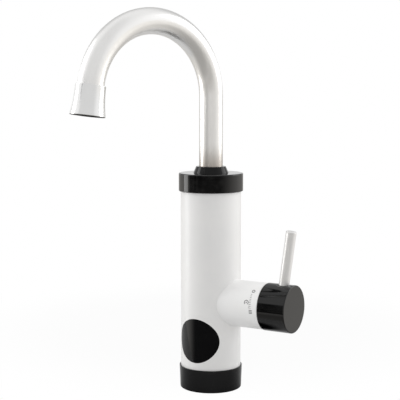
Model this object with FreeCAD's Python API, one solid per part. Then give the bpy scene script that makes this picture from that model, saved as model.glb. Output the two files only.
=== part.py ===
import FreeCAD, Part
import math
import os
from FreeCAD import Placement, Rotation, Vector

# Electric instant water heater tap, millimetres.
# +Z up, origin on the underside at the mouth of the inlet, display faces -Y, side arm along +X.

# Fits
SLIP = 0.1            # assembled pieces that stay put
RUN = 0.3             # free space round moving pieces
SEAL = 0.05           # running fit of a sealing ring or a seat
BITE = 0.5            # how far fused features sink into each other
APART = 0.5           # least room between neighbours that never touch

# White housing
BODY_R = 30.0
BODY_WALL = 2.5
BODY_IN = BODY_R - BODY_WALL
ARM_Z = 88.0
ARM_R = 22.9
ARM_WALL = 2.9
ARM_IN = ARM_R - ARM_WALL
ARM_END = 64.0
ARM_FILLET = 1.0
BOSS_R = 3.3
SCREW_R = 1.5
SCREW_HEAD_R = 2.6
SCREW_HEAD_H = 1.8

# Foot ring and base plate
RING_H = 22.6
RING_TOP_R = BODY_R + 1.5
RING_FOOT_R = BODY_R + 0.6
RING_FLOOR = 2.5
RING_FLOOR_IN = BODY_IN - 6.1
PLATE_T = 3.0
PLATE_TOP = RING_FLOOR + PLATE_T
BASE_SCREW_CIRCLE = BODY_IN - BOSS_R + BITE
BASE_SCREW_L = 14.0
BASE_SCREW_ANGLES = (30.0, 150.0, 270.0)
FOOT_SEAL_IN = BODY_IN + SLIP
FOOT_SEAL_W = 1.2
FOOT_SEAL_H = 1.5

# Water inlet, G1/2 female, and lead entry
THREAD_R = 9.32
THREAD_L = 13.0
RELIEF_R = THREAD_R + 0.6
RELIEF_L = 3.0
CONNECTOR_R = THREAD_R + 2.0
CONNECTOR_FLANGE_R = CONNECTOR_R + 1.9
CONNECTOR_FLANGE_T = 3.0
CONNECTOR_TOP = THREAD_L + RELIEF_L + 2.0
SPIGOT_R = 7.0
SPIGOT_L = 6.0
SPIGOT_BORE = 4.5
LOCKNUT_FLATS = 2 * (CONNECTOR_R + 1.7)
GLAND_ROOM = (BODY_IN - CONNECTOR_FLANGE_R) / 2
GLAND_Y = CONNECTOR_FLANGE_R + GLAND_ROOM
GLAND_NUT_R = GLAND_ROOM - 2 * APART
GLAND_NUT_T = 3.5
GLAND_R = GLAND_NUT_R - 1.2
GLAND_HEAD_R = GLAND_R + 0.7
GLAND_BORE = GLAND_R - 0.8

# Flow switch
FLOW_R = 9.5
FLOW_BORE = 6.5
FLOW_SOCKET = SPIGOT_L - 2.0
FLOW_Z = CONNECTOR_TOP + SPIGOT_L - FLOW_SOCKET
FLOW_WEB = 2.0
FLOW_SEAT = CONNECTOR_TOP + SPIGOT_L + FLOW_WEB
PISTON_L = 11.0
PISTON_TRAVEL = 5.0
SPRING_L = 14.0
SPRING_R = 4.4
SPRING_WIRE = 0.45
SPRING_TURNS = 5.0
FLOW_CAP_SPIGOT = 3.0
FLOW_TOP = FLOW_SEAT + PISTON_L + SPRING_L + FLOW_CAP_SPIGOT
FLOW_CAP_H = 7.0
REED_R = 1.5
REED_L = 14.0
REED_LUG = 5.0
PIPE_R = 5.0
PIPE_WALL = 0.8
PIPE_GRIP = 5.0

# Valve in the side arm, lengths along X
VALVE_R = BODY_IN * 0.5636      # leaves room for the display in front and the board behind
VALVE_WALL = 2.5
VALVE_BACK = -8.0
VALVE_SET_BACK = 14.0
VALVE_FLANGE_T = 4.0
VALVE_FRONT = ARM_END - VALVE_SET_BACK
VALVE_SEAT = VALVE_FRONT - VALVE_FLANGE_T
SHOULDER_T = 4.0
CHAMBER_R = VALVE_R - VALVE_WALL
CHAMBER_BACK = 14.0
SEAL_T = 2.0
DISC_R = CHAMBER_R - 1.2
PORT_OFFSET = DISC_R * 0.55
PORT_R = DISC_R * 0.25
DISC_T = 4.0
STEM_R = 5.0
STEM_HEAD_R = DISC_R - 2.8
STEM_HEAD_T = 2.3
STEM_RING_R = 0.8
CARTRIDGE_SET_BACK = 12.0
CARTRIDGE_FRONT = VALVE_FRONT - CARTRIDGE_SET_BACK
NUT_T = 9.0
NUT_BORE = STEM_R + 2.5
NUT_SLOT_W = 4.0
NUT_SLOT_D = 2.0
LOCK_RING_T = 6.0
STEM_RING_X = CARTRIDGE_FRONT - 6.0

# Handle
KNOB_R = ARM_R + 0.4
KNOB_GAP = 0.4
KNOB_L = 28.8
KNOB_WALL = 4.0
KNOB_BACK = ARM_END + KNOB_GAP
KNOB_FRONT = KNOB_BACK + KNOB_L
KNOB_MID = KNOB_BACK + KNOB_L / 2
HUB_R = STEM_R + 4.0
STEM_END = KNOB_MID + 6.0
PIN_R = 5.1
PIN_LEAN = 8.0
PIN_OUT = 52.6
PIN_SUNK = 12.0
PIN_BOSS_R = PIN_R + 3.0
GRUB_R = 2.0
GRUB_L = 8.0
GRUB_X = KNOB_BACK + 7.0

# Heater
TANK_R = BODY_IN - 2.5
TANK_WALL = 1.0
TANK_IN = TANK_R - TANK_WALL
TANK_ROOM = 8.5
TANK_Z = ARM_Z + VALVE_R + TANK_ROOM
TANK_FLOOR = 2.0
TANK_RIM_T = 1.5
COIL_WIRE = TANK_IN * 0.115
COIL_WALL_ROOM = 3.7
COIL_R = TANK_IN - COIL_WIRE - COIL_WALL_ROOM
COIL_PITCH = 9.0
COIL_TURNS = 5.5
COIL_BEND = 7.0
COIL_LIFT = 1.0
COIL_TURN_DOWN = 4.0
COIL_CLEAR = 8.0
COIL_TAIL = 7.0
COIL_NUT_R = COIL_WIRE + 1.65
COIL_NUT_T = 4.0
COIL_LEG_CIRCLE = PIPE_R + COIL_NUT_R + APART
COIL_LEG_SIDE = COIL_LEG_CIRCLE / 2
CUTOUT_R = 6.5
CUTOUT_H = 9.0
CUTOUT_CIRCLE = TANK_R - CUTOUT_R - 1.0
CUTOUT_ANGLE = 149.0
BLADE_L = 6.0
BLADE_W = 5.0
BLADE_T = 0.8
BLADE_SIDE = 2.6
PROBE_R = 2.0
PROBE_L = 24.0
PROBE_HEAD_R = 3.4
PROBE_HEAD_H = 5.0
PROBE_CIRCLE = PIPE_R + PROBE_HEAD_R + 1.3
PROBE_ANGLE = 282.0

# Top cap, lid and swivel
LEG_R = 11.7          # gooseneck where it stands in the collar
CAP_Z = 198.2
CAP_H = 18.0
CAP_R = BODY_R + 2.0
CAP_TOP_T = 3.0
CAP_TOP = CAP_Z + CAP_H
CAP_GRIP = 5.8
SHELL_TOP = CAP_Z + CAP_GRIP
RIM_R = BODY_R - 0.5
CAP_RIB_R = RIM_R - 4.5
CAP_RIB_W = 2.5
LID_SEAL_T = 0.8
LID_Z = SHELL_TOP + TANK_RIM_T + LID_SEAL_T
LID_T = 3.7
LID_TOP = LID_Z + LID_T
NECK_R = LEG_R + 2.2
NECK_BORE = LEG_R - 1.2
LID_BOSS_R = NECK_R + 1.1
LID_BOSS_L = 8.0
NECK_TOP = CAP_TOP + 2.4
WASHER_T = 0.5
FOOT_FLANGE_R = NECK_R - 0.4
FOOT_FLANGE_T = 1.4
FOOT_BORE = NECK_BORE - 3.0
FOOT_L = 18.0
FOOT_RING_R = 0.95
FOOT_RING_DROPS = (5.0, 12.0)
COLLAR_H = 6.5
COLLAR_TOP_R = LEG_R + 3.0
COLLAR_FOOT_R = COLLAR_TOP_R + 2.8

# Gooseneck
SPOUT_TURN = 21.0
BEND_R = 70.0
BEND_Z = 292.8
BEND_SWEEP = 172.0
ARCH_R = LEG_R + 0.9
TUBE_WALL = 1.1
TUBE_STUB = 10.0
TUBE_FOOT = NECK_TOP + WASHER_T + SEAL + FOOT_FLANGE_T
SOCKET_L = 8.0

# Aerator, lengths along the outlet
AERATOR_L = 28.2
AERATOR_TOP_R = ARCH_R + 1.5
AERATOR_WAIST_R = AERATOR_TOP_R + 0.2
AERATOR_END_R = AERATOR_TOP_R + 2.5
AERATOR_SWEEP_R = 120.0
AERATOR_WASHER_T = 2.0
AERATOR_LIP = 1.8
INSERT_R = ARCH_R
AERATOR_LIP_R = INSERT_R - 0.8
GRID_HOLE_R = 1.1
GRID_PITCH = 3.1
GRID_RINGS = 3

# Display
WINDOW_R = 22.0
WINDOW_RISE = 29.0
WINDOW_Z = RING_H + WINDOW_RISE
LENS_LIP = 2.0
LENS_LIP_T = 1.5
GASKET_T = 0.8
LENS_OUT = BODY_IN - GASKET_T
LENS_IN = LENS_OUT - LENS_LIP_T
BOARD_T = 1.6
DISPLAY_Y = -VALVE_R - 1.0
DISPLAY_EDGE = 3.0
DISPLAY_W = 2 * (math.sqrt(LENS_IN**2 - DISPLAY_Y**2) - DISPLAY_EDGE)
DISPLAY_H = 2 * WINDOW_R - 6.0
DIGITS_W = 17.0
DIGITS_H = 11.0
DIGITS_ROOM = 1.2
DIGITS_D = math.sqrt(LENS_IN**2 - (DIGITS_W / 2) ** 2) + DISPLAY_Y - DIGITS_ROOM
CARRIER_W = DISPLAY_W + 2.0
CARRIER_H = DISPLAY_H + 3.0
CARRIER_OPEN_W = DIGITS_W + 5.0
CARRIER_OPEN_H = DIGITS_H + 7.0
CARRIER_TAB_W = 9.0
CARRIER_TAB_T = 2.5
CARRIER_SCREW_Z = WINDOW_R + LENS_LIP + BOSS_R + RUN
CARRIER_SCREW_L = BODY_IN + DISPLAY_Y - 2.0

# Electronics on the back wall
BOARD_Y = VALVE_R + 2.5
BOARD_EDGE = 4.3
BOARD_W = 2 * (math.sqrt(BODY_IN**2 - (BOARD_Y + BOARD_T) ** 2) - BOARD_EDGE)
BOARD_LOW = 14.0
BOARD_RISE = 16.0
BOARD_HIGH = ARM_Z + BOARD_RISE
BOARD_SCREW_LOW = 48.0
BOARD_SCREW_HIGH = BOARD_HIGH - 7.0
BOARD_SCREW_L = BODY_IN - BOARD_Y - 1.5
RELAY_W = 15.0
RELAY_D = BOARD_Y - FLOW_R - APART
RELAY_H = 19.0
RELAY_Z = BOARD_SCREW_LOW + 4.0
TERMINAL_W = 22.0
TERMINAL_D = RELAY_D
TERMINAL_H = 10.0
TERMINAL_Z = 19.0

ORIGIN = Vector(0, 0, 0)
UP = Vector(0, 0, 1)


def disc(radius, low, high, at=(0.0, 0.0)):
    """Upright cylinder between two levels."""
    return Part.makeCylinder(radius, high - low, Vector(at[0], at[1], low))


def pipe(outer, inner, low, high, at=(0.0, 0.0)):
    """Upright hollow cylinder."""
    return disc(outer, low, high, at).cut(disc(inner, low - 1, high + 1, at))


def rod_y(radius, near, far, x, z):
    """Cylinder along +Y."""
    return Part.makeCylinder(radius, far - near, Vector(x, near, z), Vector(0, 1, 0))


def block(width, depth, height, x, y, z):
    """Box centred on x, from y and z upward."""
    return Part.makeBox(width, depth, height, Vector(x - width / 2, y, z))


def rounded_face(points):
    """Flat face from (radius, level) corners; a third number rounds that corner."""
    count = len(points)
    spots = [Vector(p[0], 0, p[1]) for p in points]
    corners = []
    for i, spot in enumerate(spots):
        round_r = points[i][2] if len(points[i]) > 2 else 0.0
        back = (spots[i - 1] - spot).normalize()
        ahead = (spots[(i + 1) % count] - spot).normalize()
        half = back.getAngle(ahead) / 2
        run = round_r / math.tan(half)
        inward = (back + ahead).normalize() if round_r else Vector(0, 0, 0)
        middle = spot + inward * (round_r / math.sin(half) - round_r)
        corners.append((spot + back * run, middle, spot + ahead * run))
    edges = []
    for i, (start, middle, end) in enumerate(corners):
        if (end - start).Length > 0:
            edges.append(Part.Arc(start, middle, end).toShape())
        edges.append(Part.LineSegment(end, corners[(i + 1) % count][0]).toShape())
    return Part.Face(Part.Wire(edges))


def turned(points):
    """Solid of revolution about +Z from a rounded outline."""
    return rounded_face(points).revolve(ORIGIN, UP, 360)


def ring(radius, section, level):
    """Round sealing ring on +Z, its outside at radius."""
    return Part.makeTorus(radius - section, section, Vector(0, 0, level))


def on_arm(shape):
    """Lay a piece made along +Z on the side arm's axis, so its levels become X."""
    placed = shape.copy()
    placed.rotate(ORIGIN, Vector(0, 1, 0), 90)
    placed.translate(Vector(0, 0, ARM_Z))
    return placed


def polar(radius, degrees):
    """Plan position from a radius and an angle."""
    angle = math.radians(degrees)
    return (radius * math.cos(angle), radius * math.sin(angle))


def arc_edge(start, tangent, end):
    """Arc that leaves start along tangent and ends at end."""
    chord = end - start
    angle = tangent.getAngle(chord)
    if angle < 1e-6:
        return Part.LineSegment(start, end).toShape()
    along = Vector(chord).normalize()
    side = (tangent - along * math.cos(angle)).normalize()
    middle = start + chord * 0.5 + side * (chord.Length / 2 * math.tan(angle / 2))
    return Part.Arc(start, middle, end).toShape()


def biarcs(nodes):
    """Path through (point, direction) nodes, each pair joined by two tangent arcs."""
    edges = []
    for (start, leave), (end, arrive) in zip(nodes, nodes[1:]):
        span = end - start
        lean = span.dot(leave + arrive)
        bend = 2 * (1 - leave.dot(arrive))
        if bend < 1e-9:
            reach = span.dot(span) / (2 * lean)
        else:
            reach = (math.sqrt(lean**2 + bend * span.dot(span)) - lean) / bend
        joint = (start + leave * reach + end - arrive * reach) * 0.5
        edges.append(arc_edge(start, leave, joint))
        edges.append(arc_edge(end, arrive * -1, joint))
    return Part.Wire(edges)


def swept(nodes, wire):
    """Round wire along (point, direction) nodes."""
    section = Part.Wire(Part.makeCircle(wire, nodes[0][0], nodes[0][1]))
    return biarcs(nodes).makePipeShell([section], True, False)


def self_gap(nodes, wire):
    """Least room between a wound wire's own turns, measured on points along it."""
    path = biarcs(nodes)
    points = path.discretize(Distance=wire)
    same_bend = 10
    least = path.Length
    for i, spot in enumerate(points):
        for other in points[i + same_bend :]:
            least = min(least, spot.distanceToPoint(other))
    return round(least - 2 * wire, 2)


def helix(radius, low, pitch, turns):
    """Nodes of a right-hand helix, four to the turn."""
    nodes = []
    for i in range(int(turns * 4) + 1):
        angle = i * math.pi / 2
        spot = Vector(radius * math.cos(angle), radius * math.sin(angle), low + pitch * i / 4)
        heading = Vector(-math.sin(angle), math.cos(angle), pitch / (2 * math.pi * radius))
        nodes.append((spot, heading.normalize()))
    return nodes


def screw(length):
    """Pan head screw along +Z, the head's underside at level 0, the shank below it."""
    shank = disc(SCREW_R, -length, 0)
    head = turned(
        [
            (0, 0),
            (SCREW_HEAD_R, 0),
            (SCREW_HEAD_R, SCREW_HEAD_H, 0.8),
            (0, SCREW_HEAD_H),
        ]
    )
    slot = block(0.7, 2 * SCREW_HEAD_R, 1, 0, -SCREW_HEAD_R, SCREW_HEAD_H - 0.7)
    return shank.fuse(head.cut(slot)).removeSplitter()


def along(shape, spot, direction):
    """Place a piece made along +Z at spot, pointing along direction."""
    placed = shape.copy()
    placed.Placement = Placement(spot, Rotation(UP, direction)).multiply(placed.Placement)
    return placed


def group(shapes):
    """Several equal solids in one node."""
    return Part.makeCompound(shapes)


def base_pieces():
    """Foot ring, base plate, their screws and the seal under the ring."""
    spots = [polar(BASE_SCREW_CIRCLE, a) for a in BASE_SCREW_ANGLES]
    seal_out = FOOT_SEAL_IN + FOOT_SEAL_W
    foot_ring = turned(
        [
            (RING_FLOOR_IN, 0),
            (FOOT_SEAL_IN - SLIP, 0),
            (FOOT_SEAL_IN - SLIP, FOOT_SEAL_H),
            (seal_out + SLIP, FOOT_SEAL_H),
            (seal_out + SLIP, 0),
            (RING_FOOT_R, 0, 1.2),
            (RING_TOP_R, RING_H, 0.5),
            (BODY_R + SLIP, RING_H, 0.4),
            (BODY_R + SLIP, RING_FLOOR),
            (RING_FLOOR_IN, RING_FLOOR),
        ]
    )
    plate = disc(BODY_IN - SLIP, RING_FLOOR, PLATE_TOP)
    plate = plate.cut(disc(CONNECTOR_R + SLIP, 0, PLATE_TOP + 1))
    plate = plate.cut(disc(GLAND_R + SLIP, 0, PLATE_TOP + 1, (0, GLAND_Y)))
    foot_ring = foot_ring.cut(disc(GLAND_HEAD_R + SLIP, -1, RING_FLOOR, (0, GLAND_Y)))
    sunk = Part.makeCone(SCREW_HEAD_R, SCREW_R, SCREW_HEAD_R - SCREW_R)
    screws = []
    for x, y in spots:
        hole = disc(SCREW_R + SLIP, -1, PLATE_TOP + 1, (x, y))
        seat = Part.makeCone(
            SCREW_HEAD_R + SLIP, SCREW_R + SLIP, SCREW_HEAD_R - SCREW_R, Vector(x, y, 0.2)
        )
        mouth = disc(SCREW_HEAD_R + SLIP, -1, 0.2, (x, y))
        foot_ring = foot_ring.cut(hole).cut(seat).cut(mouth)
        plate = plate.cut(hole)
        one = disc(SCREW_R, 0, BASE_SCREW_L).fuse(sunk)
        one = one.cut(block(0.7, 2 * SCREW_HEAD_R, 0.7, 0, -SCREW_HEAD_R, 0)).removeSplitter()
        one.translate(Vector(x, y, 0.2))
        screws.append(one)
    foot_seal = pipe(seal_out, FOOT_SEAL_IN, 0, FOOT_SEAL_H)
    return {
        "base_ring": foot_ring,
        "base_plate": plate,
        "base_screws": group(screws),
        "foot_seal": foot_seal,
    }


def inlet_pieces():
    """Inlet connector with its nut, seal and filter, and the lead's gland."""
    flange_top = PLATE_TOP + CONNECTOR_FLANGE_T
    relief_top = THREAD_L + RELIEF_L
    connector = turned(
        [
            (THREAD_R, 0),
            (CONNECTOR_R, 0),
            (CONNECTOR_R, PLATE_TOP),
            (CONNECTOR_FLANGE_R, PLATE_TOP),
            (CONNECTOR_FLANGE_R, flange_top, 0.5),
            (CONNECTOR_R, flange_top),
            (CONNECTOR_R, CONNECTOR_TOP, 1.0),
            (SPIGOT_R, CONNECTOR_TOP),
            (SPIGOT_R, CONNECTOR_TOP + SPIGOT_L, 0.5),
            (SPIGOT_BORE, CONNECTOR_TOP + SPIGOT_L),
            (SPIGOT_BORE, relief_top),
            (RELIEF_R, relief_top),
            (RELIEF_R, THREAD_L),
            (THREAD_R, THREAD_L),
        ]
    )
    corner = LOCKNUT_FLATS / math.sqrt(3)
    hexagon = Part.makePolygon([Vector(*polar(corner, 60 * i), 0) for i in range(7)])
    locknut = Part.Face(hexagon).extrude(Vector(0, 0, RING_FLOOR - 0.3))
    locknut.translate(Vector(0, 0, 0.3))
    locknut = locknut.cut(disc(CONNECTOR_R + SEAL, 0, RING_FLOOR + 1))
    seal_top = relief_top - 1.4
    washer = pipe(RELIEF_R - SLIP, SPIGOT_BORE + 1.0, THREAD_L + SEAL, seal_top)
    strainer = disc(RELIEF_R - SLIP, seal_top, relief_top)
    for i in range(6):
        strainer = strainer.cut(disc(0.9, 0, relief_top + 1, polar(2.6, 60 * i)))
    strainer = strainer.cut(disc(0.9, 0, relief_top + 1))
    gland = turned(
        [
            (GLAND_BORE, 0.4),
            (GLAND_HEAD_R, 0.4, 0.4),
            (GLAND_HEAD_R, RING_FLOOR),
            (GLAND_R, RING_FLOOR),
            (GLAND_R, PLATE_TOP + GLAND_NUT_T + 1.0, 0.3),
            (GLAND_BORE, PLATE_TOP + GLAND_NUT_T + 1.0),
        ]
    )
    gland.translate(Vector(0, GLAND_Y, 0))
    gland_nut = pipe(GLAND_NUT_R, GLAND_R + SEAL, PLATE_TOP, PLATE_TOP + GLAND_NUT_T, (0, GLAND_Y))
    return {
        "inlet_connector": connector,
        "inlet_locknut": locknut,
        "inlet_seal": washer,
        "inlet_filter": strainer,
        "cable_gland": gland,
        "gland_nut": gland_nut,
    }


def flow_pieces():
    """Flow switch between the inlet and the valve."""
    cap_top = FLOW_TOP + FLOW_CAP_H
    spring_top = FLOW_TOP - FLOW_CAP_SPIGOT
    housing = turned(
        [
            (SPIGOT_R + SEAL, FLOW_Z),
            (FLOW_R, FLOW_Z, 0.5),
            (FLOW_R, FLOW_TOP),
            (FLOW_BORE, FLOW_TOP),
            (FLOW_BORE, FLOW_SEAT),
            (SPIGOT_BORE, FLOW_SEAT),
            (SPIGOT_BORE, FLOW_SEAT - FLOW_WEB),
            (SPIGOT_R + SEAL, FLOW_SEAT - FLOW_WEB),
        ]
    )
    reed_low = FLOW_SEAT + PISTON_L - REED_L / 2
    reed_y = FLOW_R + REED_LUG / 2
    lug = block(2 * REED_R + 3, REED_LUG + BITE, REED_L, 0, FLOW_R - BITE, reed_low)
    housing = housing.fuse(lug).cut(disc(REED_R + SEAL, 0, cap_top, (0, reed_y))).removeSplitter()
    reed = disc(REED_R, reed_low - 1, reed_low + REED_L + 1, (0, reed_y))
    cap = turned(
        [
            (FLOW_BORE - 2.5, spring_top),
            (FLOW_BORE - SEAL, spring_top),
            (FLOW_BORE - SEAL, FLOW_TOP),
            (FLOW_R, FLOW_TOP),
            (FLOW_R, cap_top, 0.8),
            (PIPE_R + SEAL, cap_top),
            (PIPE_R + SEAL, cap_top - PIPE_GRIP),
            (FLOW_BORE - 2.5, cap_top - PIPE_GRIP),
        ]
    )
    piston_low = FLOW_SEAT + SEAL
    piston_top = FLOW_SEAT + PISTON_L
    magnet_h = 4.0
    magnet_r = FLOW_BORE - RUN - 1.6
    piston = turned(
        [
            (0, piston_low),
            (FLOW_BORE - RUN, piston_low, 0.6),
            (FLOW_BORE - RUN, piston_top),
            (magnet_r + SLIP, piston_top),
            (magnet_r + SLIP, piston_top - magnet_h),
            (0, piston_top - magnet_h),
        ]
    )
    magnet = disc(magnet_r, piston_top - magnet_h, piston_top)
    pitch = (SPRING_L - 2 * SPRING_WIRE) / SPRING_TURNS
    spring_low = piston_top + SPRING_WIRE
    spring = swept(helix(SPRING_R, spring_low, pitch, SPRING_TURNS), SPRING_WIRE)
    pressed = helix(SPRING_R, spring_low, pitch - PISTON_TRAVEL / SPRING_TURNS, SPRING_TURNS)
    print("piston_spring least self gap when pressed", self_gap(pressed, SPRING_WIRE), "mm")
    supply = pipe(PIPE_R, PIPE_R - PIPE_WALL, cap_top - PIPE_GRIP, ARM_Z - VALVE_R + PIPE_GRIP)
    return {
        "flow_housing": housing,
        "reed_switch": reed,
        "flow_cap": cap,
        "flow_piston": piston,
        "piston_magnet": magnet,
        "piston_spring": spring,
        "supply_tube": supply,
    }


def valve_pieces():
    """Valve body in the arm, ceramic disc cartridge and the stem that turns it."""
    valve = turned(
        [
            (0, VALVE_BACK),
            (VALVE_R, VALVE_BACK, 2.0),
            (VALVE_R, VALVE_SEAT),
            (ARM_IN - SLIP, VALVE_SEAT),
            (ARM_IN - SLIP, VALVE_FRONT),
            (CHAMBER_R, VALVE_FRONT),
            (CHAMBER_R, CHAMBER_BACK),
            (0, CHAMBER_BACK),
        ]
    )
    ports = [(-PORT_OFFSET, 0.0), (PORT_OFFSET, 0.0)]
    for port in ports:
        valve = valve.cut(disc(PORT_R, 0, CHAMBER_BACK + 1, port))
    valve = on_arm(valve)
    mouth = VALVE_R - PIPE_GRIP
    for low, high in ((-VALVE_R - 1, -mouth), (mouth, VALVE_R + 1)):
        valve = valve.cut(disc(PIPE_R + SEAL, ARM_Z + low, ARM_Z + high))
    valve = valve.cut(disc(PIPE_R - PIPE_WALL, ARM_Z - mouth - BITE, ARM_Z - PORT_OFFSET))
    valve = valve.cut(disc(PIPE_R - PIPE_WALL, ARM_Z + PORT_OFFSET, ARM_Z + mouth + BITE))

    seal_front = CHAMBER_BACK + SEAL_T
    fixed_front = seal_front + DISC_T
    moving_back = fixed_front + SEAL
    moving_front = moving_back + DISC_T
    head_front = moving_front + STEM_HEAD_T
    seal = disc(DISC_R, CHAMBER_BACK, seal_front)
    fixed = disc(DISC_R, seal_front, fixed_front)
    for port in ports:
        seal = seal.cut(disc(PORT_R, 0, fixed_front + 1, port))
        fixed = fixed.cut(disc(PORT_R, 0, fixed_front + 1, port))
    moving = disc(DISC_R - RUN, moving_back, moving_front)
    pocket = pipe(PORT_OFFSET + PORT_R, PORT_OFFSET - PORT_R, moving_back - 1, moving_back + DISC_T / 2)
    half = block(2 * DISC_R, DISC_R, 2 * DISC_T, 0, 0, moving_back - DISC_T)
    moving = moving.cut(pocket.common(half))
    sleeve = turned(
        [
            (DISC_R + SLIP, CHAMBER_BACK),
            (CHAMBER_R - SLIP, CHAMBER_BACK),
            (CHAMBER_R - SLIP, CARTRIDGE_FRONT),
            (STEM_R + SLIP, CARTRIDGE_FRONT),
            (STEM_R + SLIP, head_front + SLIP),
            (DISC_R + SLIP, head_front + SLIP),
        ]
    )
    nut = turned(
        [
            (NUT_BORE, CARTRIDGE_FRONT),
            (CHAMBER_R - SEAL, CARTRIDGE_FRONT),
            (CHAMBER_R - SEAL, CARTRIDGE_FRONT + NUT_T, 0.5),
            (NUT_BORE, CARTRIDGE_FRONT + NUT_T),
        ]
    )
    slot_low = CARTRIDGE_FRONT + NUT_T - NUT_SLOT_D
    nut = nut.cut(block(NUT_SLOT_W, 2 * CHAMBER_R, NUT_T, 0, -CHAMBER_R, slot_low))
    groove_r = STEM_R - SEAL + SLIP - 2 * STEM_RING_R - SEAL
    groove_low = STEM_RING_X - STEM_RING_R - SEAL
    groove_high = STEM_RING_X + STEM_RING_R + SEAL
    stem = turned(
        [
            (0, moving_front),
            (STEM_HEAD_R, moving_front),
            (STEM_HEAD_R, head_front),
            (STEM_R, head_front),
            (STEM_R, groove_low),
            (groove_r, groove_low),
            (groove_r, groove_high),
            (STEM_R, groove_high),
            (STEM_R, STEM_END, 0.8),
            (0, STEM_END),
        ]
    )
    stem_ring = ring(STEM_R + SLIP - SEAL, STEM_RING_R, STEM_RING_X)
    lock_ring = turned(
        [
            (CHAMBER_R + 1, VALVE_FRONT),
            (ARM_IN - SEAL, VALVE_FRONT),
            (ARM_IN - SEAL, VALVE_FRONT + LOCK_RING_T, 0.5),
            (CHAMBER_R + 1, VALVE_FRONT + LOCK_RING_T),
        ]
    )
    return {
        "valve_body": valve,
        "valve_lock_ring": on_arm(lock_ring),
        "cartridge_seal": on_arm(seal),
        "fixed_disc": on_arm(fixed),
        "moving_disc": on_arm(moving),
        "cartridge_body": on_arm(sleeve),
        "cartridge_nut": on_arm(nut),
        "valve_stem": on_arm(stem),
        "stem_o_ring": on_arm(stem_ring),
    }


def handle_pieces():
    """Knob, its pin lever and the grub screw that holds it on the stem."""
    cavity_end = KNOB_FRONT - KNOB_WALL
    rim_in = KNOB_R - KNOB_WALL
    knob = turned(
        [
            (STEM_R + SEAL, KNOB_BACK),
            (HUB_R, KNOB_BACK),
            (HUB_R, cavity_end),
            (rim_in, cavity_end),
            (rim_in, KNOB_BACK),
            (KNOB_R, KNOB_BACK, 0.6),
            (KNOB_R, KNOB_FRONT, 0.9),
            (0, KNOB_FRONT),
            (0, STEM_END + SLIP),
            (STEM_R + SEAL, STEM_END + SLIP),
        ]
    )
    knob = on_arm(knob)
    lean = math.radians(PIN_LEAN)
    pin_axis = Vector(math.sin(lean), 0, math.cos(lean))
    pin_foot = Vector(KNOB_MID, 0, ARM_Z)
    surface = KNOB_R / math.cos(lean)
    pin_low = surface - PIN_SUNK
    boss = along(disc(PIN_BOSS_R, STEM_R + 2, KNOB_R - 1), pin_foot, pin_axis)
    grub_boss = disc(GRUB_R + 2.5, ARM_Z - rim_in - BITE, ARM_Z - STEM_R - 1, (GRUB_X, 0))
    knob = knob.fuse(boss).fuse(grub_boss).removeSplitter()
    knob = knob.cut(along(disc(PIN_R + SEAL, pin_low, 2 * KNOB_R), pin_foot, pin_axis))
    knob = knob.cut(disc(GRUB_R + SEAL, ARM_Z - KNOB_R - 1, ARM_Z - STEM_R, (GRUB_X, 0)))
    pin = turned(
        [
            (0, pin_low),
            (PIN_R, pin_low),
            (PIN_R, surface + PIN_OUT, 0.6),
            (0, surface + PIN_OUT),
        ]
    )
    grub = disc(GRUB_R, ARM_Z - STEM_R - GRUB_L, ARM_Z - STEM_R, (GRUB_X, 0))
    grub = grub.cut(disc(GRUB_R / 2, 0, ARM_Z - STEM_R - GRUB_L + 2, (GRUB_X, 0)))
    return {
        "knob": knob,
        "lever_pin": along(pin, pin_foot, pin_axis),
        "grub_screw": grub,
    }


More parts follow.
